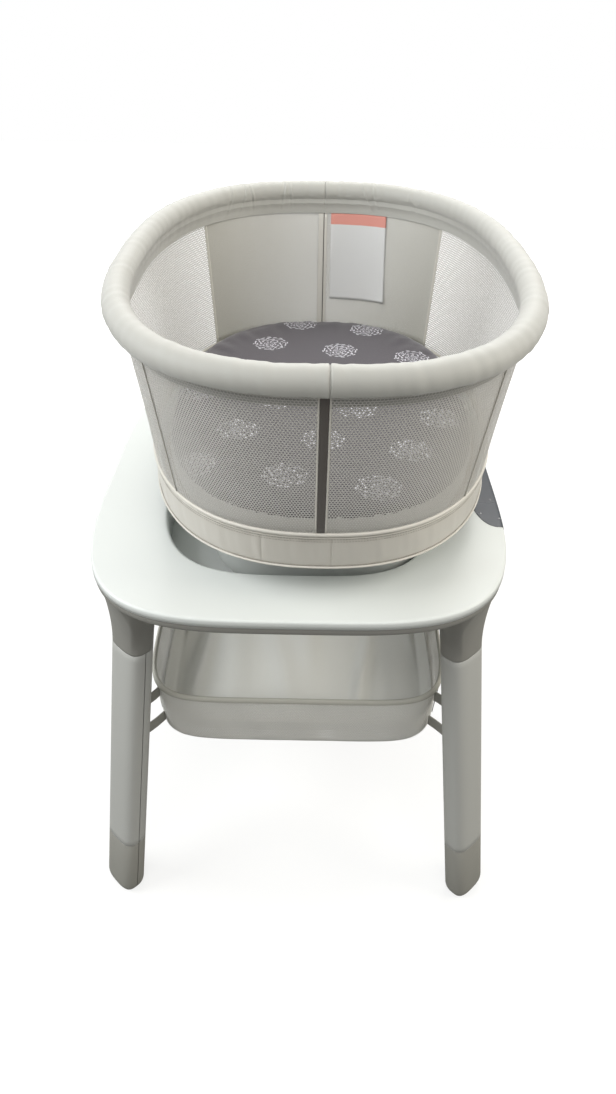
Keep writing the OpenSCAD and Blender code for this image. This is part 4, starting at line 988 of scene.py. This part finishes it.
panels = {"mesh_side_right": (-corner_angle, corner_angle),
          "mesh_rear_right": (corner_angle, math.pi / 2),
          "mesh_rear_left": (math.pi / 2, math.pi - corner_angle),
          "mesh_side_left": (math.pi - corner_angle, math.pi + corner_angle),
          "mesh_front_left": (math.pi + corner_angle, 1.5 * math.pi),
          "mesh_front_right": (1.5 * math.pi, 2 * math.pi - corner_angle)}
strut_low, strut_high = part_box("end_struts")
strut_half, strut_t = (strut_high.x - strut_low.x) / 2, 0.0023
strut_angle = (strut_half + 0.0004) / rim_w
tub_mesh = knitted("tub_mesh_cloth", (0.60, 0.585, 0.55), (0.46, 0.445, 0.415), 0.0036, 0.00130)
close_mesh = knitted("close_mesh_cloth", (0.49, 0.48, 0.435), (0.42, 0.41, 0.37), 0.0017, 0.00040)
for name, (start, stop) in panels.items():
    low_cut = seam_half if start % (math.pi / 2) > 0.01 else strut_angle
    high_cut = seam_half if stop % (math.pi / 2) > 0.01 else strut_angle
    spread = np.linspace(start + low_cut, stop - high_cut, 97 if "side" in name else 61)
    face = wall_cloth(spread, 0.0003)
    panel = made(name + "_cloth", cloth_sheet(name, face, wall_cloth(spread, 0.0010)))
    fitted(panel, close_mesh if "rear" in name else tub_mesh, "tub", "mesh_fabric", name)

seam_cords = []
for angle in (corner_angle, math.pi - corner_angle, math.pi + corner_angle, -corner_angle):
    for depth, radius in ((-0.0016, 0.0013), (0.0002, 0.0007)):
        path = np.concatenate([wall_ring(np.array([angle]), z, depth) for z in mesh_levels])
        outer = np.concatenate([wall_ring(np.array([angle]), z, depth + 1) for z in mesh_levels])
        seam_cords.append(tube("seam", path, outer - path, radius, 8))
    spread = angle + np.linspace(-0.0085, 0.0085, 5)
    grids = [np.stack([wall_ring(spread, z, depth) for z in mesh_levels])
             for depth in (-0.0012, -0.0017)]
    seam_cords.append(cloth_sheet("seam_tape", *grids))
corner_seams = made("corner_seams", *seam_cords)
seam_cloth = woven("seam_cloth", (0.60, 0.58, 0.52), (0.50, 0.48, 0.43), 0.0009, 0.6, 0.0001)
fitted(corner_seams, seam_cloth, "tub", "mesh_fabric")

# ---- End struts ----------------------------------------------------------------------------
# Flat dark bars at the foot and head ends that hold the rim up. They stand in a slit of the
# mesh whose edges are bound, and two light tapes nearly close the slit on the inside.
strut_cover = woven("strut_cover", (0.105, 0.092, 0.082), (0.070, 0.061, 0.054), 0.0008, 0.55,
                    0.0001)
strut_parts, bind_parts, tape_parts = [], [], []
strut_levels = np.linspace(strut_low.z + 0.0002, strut_high.z - 0.0002, 24)
bind_levels = np.linspace(mesh_low.z - 0.0004, mesh_high.z - 0.001, 24)
tape_low, tape_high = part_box("strut_tapes")
tape_levels = np.linspace(mesh_low.z - 0.0004, tape_high.z, 20)
tape_half = (tape_high.x - tape_low.x) / 2
crown = np.array([0.0010, 0.0003, 0.0, -0.0001, 0.0, 0.0003, 0.0010])


def end_strip(x, s, depth, levels):
    """Rows of points across an end wall, at a depth under its skin."""
    return np.stack([np.stack(np.broadcast_arrays(x, s * (wall_half(z)[1] - depth), z), -1)
                     for z in levels])


for s in (-1, 1):
    across = s * np.array([-1.0, -0.93, -0.75, 0, 0.75, 0.93, 1.0]) * strut_half
    strut_parts.append(cloth_sheet("strut", *[
        end_strip(tub_x - across, s, depth, strut_levels) for depth in (crown, strut_t - crown)]))
    for side_way in (-1, 1):
        bind_x = np.array([tub_x + side_way * (strut_half + 0.0012)])
        path = end_strip(bind_x, s, 0.0010, bind_levels)[:, 0]
        bind_parts.append(tube("binding", path, np.zeros_like(path) + (0, s, 0), 0.0010, 8))
    for start, stop in ((-tape_half, 0.0012), (0.0026, tape_half)):
        across = np.linspace(start, stop, 7)[::-s]
        tape_parts.append(cloth_sheet("tape", *[
            end_strip(tub_x + across, s, depth, tape_levels) for depth in (0.0027, 0.0033)]))
struts = made("end_strut_bars", *strut_parts)
fitted(struts, strut_cover, "tub", "strut_grey", "end_struts")
bindings = made("strut_bindings", *bind_parts)
fitted(bindings, cord_cloth, "tub", "mesh_fabric")
tapes = made("strut_tape_webbing", *tape_parts)
soft_tape = woven("soft_tape", (0.62, 0.60, 0.55), (0.53, 0.51, 0.465), 0.0009, 0.6, 0.0001)
fitted(tapes, soft_tape, "tub", "mesh_fabric", "strut_tapes")

# ---- Rim -----------------------------------------------------------------------------------
# Two halves of steel tube joined by plugs, inside a padded sleeve of off-white jersey that is
# lapped and sewn over the top of the mesh, with a cross seam at the foot and at the head.
tube_steel = drawn_metal("tube_steel", (0.62, 0.62, 0.63), (0.5, 0.5, 0.52), 0.26)
tube_steel.on(nodes["rim_tube_front"], nodes["rim_tube_rear"], nodes["rim_joiners"])
sleeve_low, sleeve_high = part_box("rim_sleeve")
sleeve_r = sleeve_high.z - rim_z
sleeve_drop = sleeve_low.z - rim_z
slit, mesh_t, pad_t = 0.0011, 0.0016, 0.0044
inner_r = sleeve_r - pad_t


def rim_ring(theta, out, up):
    """The rim's line moved outwards and up. Below the tube it leans in with the wall."""
    z = rim_z + up
    a, b, _ = wall_half(z)
    lean = (up < -inner_r)
    half_w = rim_w + (a - rim_w if lean else 0.0)
    half_l = rim_l + (b - rim_l if lean else 0.0)
    return half_w, half_l, z


def arc(radius, start, end, count):
    angle = np.radians(np.linspace(start, end, count))
    return [(radius * c, radius * s) for c, s in zip(np.cos(angle), np.sin(angle))]


lap_drop = -sleeve_r - 0.003


def facing(drop, top, bend):
    """The face of a facing from its folded hem up to the tube: it follows the mesh at first
    and then swings out to the padding with the given power curve."""
    hem = [(slit + 0.0004, drop), (slit + 0.0016, drop + 0.0003), (slit + 0.0022, drop + 0.0014)]
    return hem + [(slit + 0.0026 + (0.0097 - 0.0026 - slit) * t ** bend,
                   drop + 0.0014 + (top - drop - 0.0014) * t) for t in np.linspace(0.12, 1, 7)]


section = facing(lap_drop, -0.0121, 0.8) + arc(sleeve_r, -42, 222, 45)
section += [(-x - mesh_t, y) for x, y in facing(sleeve_drop, -0.0150, 1.8)[::-1]]
section += [(-slit - mesh_t, sleeve_drop + 0.002), (-slit - mesh_t, -inner_r * 1.1)]
section += arc(inner_r, 215, -35, 18) + [(slit, -inner_r * 1.1), (slit, lap_drop + 0.0012)]
section = np.array(section)
cross_seams = [(joint_angle(0.004, -1, rim_w, rim_l, rim_n), 0.0012),
               (joint_angle(0.003, 1, rim_w, rim_l, rim_n), 0.0012)]
tucks = [(joint_angle(x, 1, rim_w, rim_l, rim_n), lean, tall) for x, lean, tall in (
    (-0.159, 0.3, 0.0011), (-0.138, 0.35, 0.0010), (-0.120, -0.2, 0.0009),
    (-0.070, 0.25, 0.0012), (-0.055, -0.1, 0.0009), (0.079, -0.55, 0.0013),
    (0.093, -0.3, 0.0008), (0.156, -0.6, 0.0012))]
rim_turn = np.unique(np.concatenate([
    np.linspace(0, 2 * np.pi, 600, endpoint=False),
    *[(a + fine_step * 0.8) % (2 * np.pi) for a, _ in cross_seams],
    *[(a + np.linspace(-0.03, 0.03, 25)) % (2 * np.pi) for a, _, _ in tucks]]).round(6))
wrinkle_draw = np.random.default_rng(3).uniform(0, 6.28, 8)
turn_size = 0.30


def sleeve_relief(out, up):
    """How far the sleeve stands off its plain section: sewn cross seams, slanting tucks on
    the inner face at the head end, and long shallow waves of the padding."""
    bearing = math.atan2(up + 0.004, out)
    relief = sum(0.00013 * np.sin(k * rim_turn + p + 1.3 * bearing) for k, p in zip(
        (9, 14, 23, 37, 53, 71, 97, 120), wrinkle_draw))
    for angle, depth in cross_seams:
        away = np.abs(turned(rim_turn, angle)) * turn_size
        relief = relief + depth * (0.5 * np.exp(-(away / 0.008) ** 2)
                                   - 1.5 * np.exp(-(away / 0.0011) ** 2))
    inward = np.clip(-math.cos(bearing) + 0.25, 0, 1) * np.clip((up + 0.030) / 0.006, 0, 1)
    for angle, lean, tall in tucks:
        shift = turned(rim_turn, angle) * turn_size + lean * (up + 0.012)
        relief = relief + inward * tall * (np.exp(-(shift / 0.0022) ** 2)
                                           - 0.7 * np.exp(-((shift - 0.0036) / 0.0026) ** 2))
    return relief


outer_count = len(section) - 22
sleeve_rings = []
for row, (out, up) in enumerate(section):
    half_w, half_l, z = rim_ring(rim_turn, out, up)
    relief = sleeve_relief(out, up) if 3 <= row < outer_count - 3 else np.zeros_like(rim_turn)
    size = math.hypot(out, up + 0.002)
    flat = oval(rim_turn, half_w + out, half_l + out, rim_n)
    way = flat / np.linalg.norm(flat, axis=1)[:, None] * (out / size)
    tall = np.full(len(rim_turn), z) + relief * (up + 0.002) / size
    sleeve_rings.append(np.concatenate([flat + way * relief[:, None] + (tub_x, 0),
                                        tall[:, None]], -1))
sleeve_rings = np.stack(sleeve_rings)
sleeve_u, _ = lengths(sleeve_rings, ring=True)
around = np.concatenate([[0], np.cumsum(np.linalg.norm(
    np.diff(np.concatenate([section, section[:1]]), axis=0), axis=1))])
sleeve = made("rim_sleeve_padding", grid_mesh(
    "rim_sleeve", sleeve_rings, (True, True), np.stack(np.meshgrid(sleeve_u, around), -1)))
jersey = woven("rim_jersey", (0.455, 0.45, 0.415), (0.40, 0.395, 0.36), 0.0006, 0.52, 0.00004,
               0.3)
fitted(sleeve, jersey, "tub", "fabric_white", "rim_sleeve")


def rim_line(out, up):
    """A closed path on the sleeve, and the outward direction at each of its points."""
    half_w, half_l, z = rim_ring(turn, out, up)
    flat = oval(turn, half_w + out, half_l + out, rim_n) + (tub_x, 0)
    away = raised(oval(turn, half_w + out + 0.01, half_l + out + 0.01, rim_n) + (tub_x, 0) - flat,
                  0.0)
    return raised(flat, z), away / np.linalg.norm(away, axis=1)[:, None]


hem_in, hem_in_out = rim_line(-slit - mesh_t - 0.0024, sleeve_drop + 0.0042)
hem_out, hem_out_out = rim_line(0.0060, -0.0159)
rim_thread = made(
    "rim_stitching",
    stitches("row", closed(hem_in), -closed(hem_in_out), 0.0034, 0.0026, 0.0004),
    stitches("row", closed(hem_out), closed(hem_out_out), 0.0034, 0.0026, 0.0004))
pale_thread = spun("pale_thread", (0.42, 0.40, 0.36), (0.55, 0.53, 0.48))
fitted(rim_thread, pale_thread, "tub", "fabric_white")
hem_path, hem_way = rim_line(-slit - mesh_t - 0.0012, sleeve_drop + 0.0004)
hem_bead = made("rim_hem_bead", tube("hem_bead", hem_path, hem_way, 0.0011, 8, ring=True))
fitted(hem_bead, jersey, "tub", "fabric_white")

# ---- Care tag ------------------------------------------------------------------------------
# A blank woven satin tag that hangs inside the head end beside the middle seam, sewn in
# under the rim's hem, with a plain coral stripe along its top.
tag_low, tag_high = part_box("care_tag")
tag_x = np.linspace(tag_low.x, tag_high.x, 33)
tag_levels = np.linspace(tag_low.z, tag_high.z, 36)


def tag_cloth(depth):
    """The wall's curve at a depth, with the free lower edge curling away from the mesh."""
    rows = []
    for z in tag_levels:
        a, b, n = wall_half(z)
        away = mesh_t + slit + 0.0004 + depth
        drop = (tag_high.z - z) / (tag_high.z - tag_low.z)
        reachable = (tag_x - tub_x) / (a - away)
        y = (b - away) * (1 - np.abs(reachable) ** n) ** (1 / n)
        curl = 0.0030 * drop ** 4 * (0.4 + 0.6 * ((tag_x - tag_low.x) / 0.092) ** 2)
        ripple = 0.0005 * drop * np.sin((tag_x - tag_low.x) * 75 + 6 * drop)
        rows.append(np.stack([tag_x, y - curl - ripple, np.full(33, z)], -1))
    return np.stack(rows)[:, ::-1]


tag_face, tag_back = tag_cloth(0.0), tag_cloth(0.0005)
tag = made("care_tag_satin", cloth_sheet("care_tag", tag_face, tag_back))
tag_satin = Finish("tag_satin", Sheen_Weight=0.3, Specular_IOR_Level=0.5)
u, v, _ = tag_satin.axes(tag_satin.place(uv=True))
ribs = tag_satin.waves(v, 0.0008)
wave = tag_satin.math("MULTIPLY_ADD", tag_satin.noise(tag_satin.place(), 90.0), 0.0012, v)
stripe = tag_satin.step(wave, 0.1205, 0.1213)
# The tag's ground is greyer than white satin: painted shade inside the tub.
shaded_tag_ground = tag_satin.mix(ribs, (0.60, 0.60, 0.59), (0.66, 0.66, 0.65))
tag_satin.colour(tag_satin.mix(stripe, shaded_tag_ground, (0.62, 0.25, 0.20)))
tag_satin.rough(ribs, 0.32, 0.42, low=-1.0)
tag_satin.bump(ribs, 0.00008, 0.4)
fitted(tag, tag_satin, "tub", "tag_satin", "care_tag")

# ---- Mattress and sheet --------------------------------------------------------------------
# A foam pad with rounded edges in a fitted sheet: plum-grey cotton, elasticated under the
# pad, with white lace-like rosettes in a plain staggered layout.
pad_low, pad_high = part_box("mattress")
sheet_low, sheet_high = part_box("fitted_sheet")
pad_w, pad_l, pad_n = sheet_high.x - tub_x, sheet_high.y, 2.4
pad_turn = np.linspace(0, 2 * np.pi, 240, endpoint=False)


def pad_profile(inset, low, high):
    """(inset, height) of a pad's edge: narrow below, upright, and well rounded on top."""
    return [(inset + 0.0130, low), (inset + 0.0095, low + 0.004), (inset + 0.006, low + 0.012),
            (inset + 0.0025, low + 0.022), (inset, high - 0.018), (inset + 0.0004, high - 0.011),
            (inset + 0.0015, high - 0.0065), (inset + 0.0034, high - 0.0033),
            (inset + 0.0060, high - 0.0012), (inset + 0.0092, high - 0.0003),
            (inset + 0.014, high), (inset + 0.06, high), (inset + 0.12, high), (inset + 0.17, high)]


pad_rings = oval_rings(pad_turn, [(pad_w - i, pad_l - i, z) for i, z in
                                  pad_profile(0.0018, pad_low.z, pad_high.z - 0.002)], pad_n, tub_x)
pad = made("mattress_foam", grid_mesh("mattress", pad_rings, (False, True), caps=("low", "high")))
ticking = Finish("foam_ticking", Roughness=0.9, Sheen_Weight=0.2)
cells = ticking.node("TexVoronoi", out=0, inputs={0: ticking.place(), 2: 800.0})
ticking.colour(ticking.mix(cells, (0.62, 0.62, 0.59), (0.74, 0.74, 0.71)))
ticking.bump(cells, 0.0003, 0.5)
fitted(pad, ticking, "mattress", "foam", "mattress")

cover_rings = oval_rings(pad_turn, [(pad_w - 0.0006 - i, pad_l - 0.0006 - i, z) for i, z in
                                    pad_profile(0.0, sheet_low.z - 0.008, sheet_high.z - 0.001)],
                         pad_n, tub_x)
cover = made("fitted_sheet_cover", grid_mesh("fitted_sheet", cover_rings, (False, True),
                                             caps=("low", "high")))


def baked(thing):
    """Puts the shape that the modifiers give into the mesh, and clears them."""
    graph = bpy.context.evaluated_depsgraph_get()
    mesh = bpy.data.meshes.new_from_object(thing.evaluated_get(graph))
    thing.modifiers.clear()
    thing.data = mesh
    return mesh


def points_of(mesh):
    spots = np.empty(len(mesh.vertices) * 3)
    mesh.vertices.foreach_get("co", spots)
    return spots.reshape(-1, 3)


voxel_size, cap, last_frame = 0.0048, 0.0018, 20
voxels = cover.modifiers.new("voxels", "REMESH")
voxels.mode, voxels.voxel_size = "VOXEL", voxel_size
before = points_of(baked(cover))
cloth = cover.modifiers.new("cloth", "CLOTH").settings
cloth.quality = 4
cloth.use_pressure = True
cloth.uniform_pressure_force = 4.0
cloth.effector_weights.gravity = 0.0
cloth.tension_stiffness, cloth.bending_stiffness = 12.0, 0.4
for step in range(1, last_frame + 1):
    bpy.context.scene.frame_set(step)
moved = points_of(baked(cover)) - before
bpy.context.scene.frame_set(1)
size = np.linalg.norm(moved, axis=1)[:, None] + 1e-9
cover.data.vertices.foreach_set("co", (before + moved / size * cap * np.tanh(
    size / cap)).ravel())
cover.data.polygons.foreach_set("use_smooth", np.ones(len(cover.data.polygons), bool))

spots = points_of(cover.data)
ways = np.arctan2(spots[:, 1] / pad_l, (spots[:, 0] - tub_x) / pad_w)
share = np.hypot(spots[:, 1] / pad_l, (spots[:, 0] - tub_x) / pad_w)
crown = np.clip((spots[:, 2] - sheet_low.z) / 0.02, 0, 1)
gather = np.exp(-((share - 0.93) / 0.10) ** 2) * crown
head = np.exp(-((ways - 1.62) / 0.16) ** 2)
spots[:, 2] += gather * (0.0005 * np.sin(31 * ways) + 0.0004 * np.sin(53 * ways + 1)
                         - 0.0011 * head * (0.5 + 0.5 * np.sin(46 * ways + 9 * share)))
cover.data.vertices.foreach_set("co", spots.ravel())
work = bmesh.new()
work.from_mesh(cover.data)
bmesh.ops.bisect_plane(work, geom=work.verts[:] + work.edges[:] + work.faces[:],
                       plane_co=(0, 0, sheet_low.z), plane_no=(0, 0, 1), clear_inner=True)
work.to_mesh(cover.data)
work.free()
cover.data.update()
skin = cover.modifiers.new("skin", "SOLIDIFY")
skin.thickness, skin.offset = 0.0011, -1.0
plum = Finish("plum_cotton", Sheen_Weight=0.35, Sheen_Roughness=0.5, Specular_IOR_Level=0.25)
where = plum.place()
x, y, _ = plum.axes(where)
row_height, column_width, row_shift = 0.0998, 0.1146, 0.0258
first_x, first_y = -0.0938, 0.1728
rosette_r, petals, thread_pitch = 0.0270, 8.0, 0.0006
cloth_x, cloth_y, _ = plum.axes(plum.place(turn=math.radians(12.34)))
line = plum.over(plum.less(cloth_y, first_y), row_height)
row = plum.math("ROUND", line)
dy = plum.times(plum.less(line, row), row_height)
column = plum.over(plum.less(plum.plus(cloth_x, -first_x), plum.times(
    row, row_shift)), column_width)
dx = plum.times(plum.less(column, plum.math("ROUND", column)),
               column_width)
spin = plum.math("ARCTAN2", dy, dx)
away = plum.math("SQRT", plum.plus(plum.times(dx, dx),
                                   plum.times(dy, dy)))
scallop = plum.math("MULTIPLY_ADD", plum.math("COSINE", plum.times(spin, petals)),
                    0.0014, away)
ring_step = 0.0058
ring = plum.math("FLOOR", plum.over(scallop, ring_step))
in_ring = plum.math("ABSOLUTE", plum.less(plum.math(
    "FLOORED_MODULO", scallop, ring_step), ring_step / 2))
stroke = plum.less(1.0, plum.step(in_ring, 0.0008, 0.0012))
dash = plum.math("COSINE", plum.math("MULTIPLY_ADD", ring, 1.7, plum.times(
    spin, plum.math("MULTIPLY_ADD", ring, 3.0, 4.0))))
petal = plum.math("COSINE", plum.math("MULTIPLY_ADD", spin, petals, plum.times(
    scallop, 700.0)))
lace = plum.math("MAXIMUM", plum.times(stroke, plum.step(dash, -0.3, 0.0)),
                 plum.step(petal, 0.80, 0.92))
inside = plum.less(1.0, plum.step(scallop, rosette_r, rosette_r + 0.0012))
worn = plum.step(plum.noise(where, 260.0, 2.0), 0.36, 0.46)
ink = plum.times(plum.times(lace, inside), worn)
thread = plum.weave(x, y, thread_pitch)
tone = plum.math("MULTIPLY_ADD", thread, 0.4, plum.times(plum.noise(
    where, 7.0, 3.0), 0.6))
cotton = plum.mix(tone, (0.046, 0.038, 0.048), (0.060, 0.051, 0.063))
plum.colour(plum.mix(ink, cotton, (0.66, 0.65, 0.70)))
plum.rough(tone, 0.85, 0.68)
plum.bump(thread, 0.00005, 0.4)
fitted(cover, plum, "mattress", "sheet_fabric", "fitted_sheet")
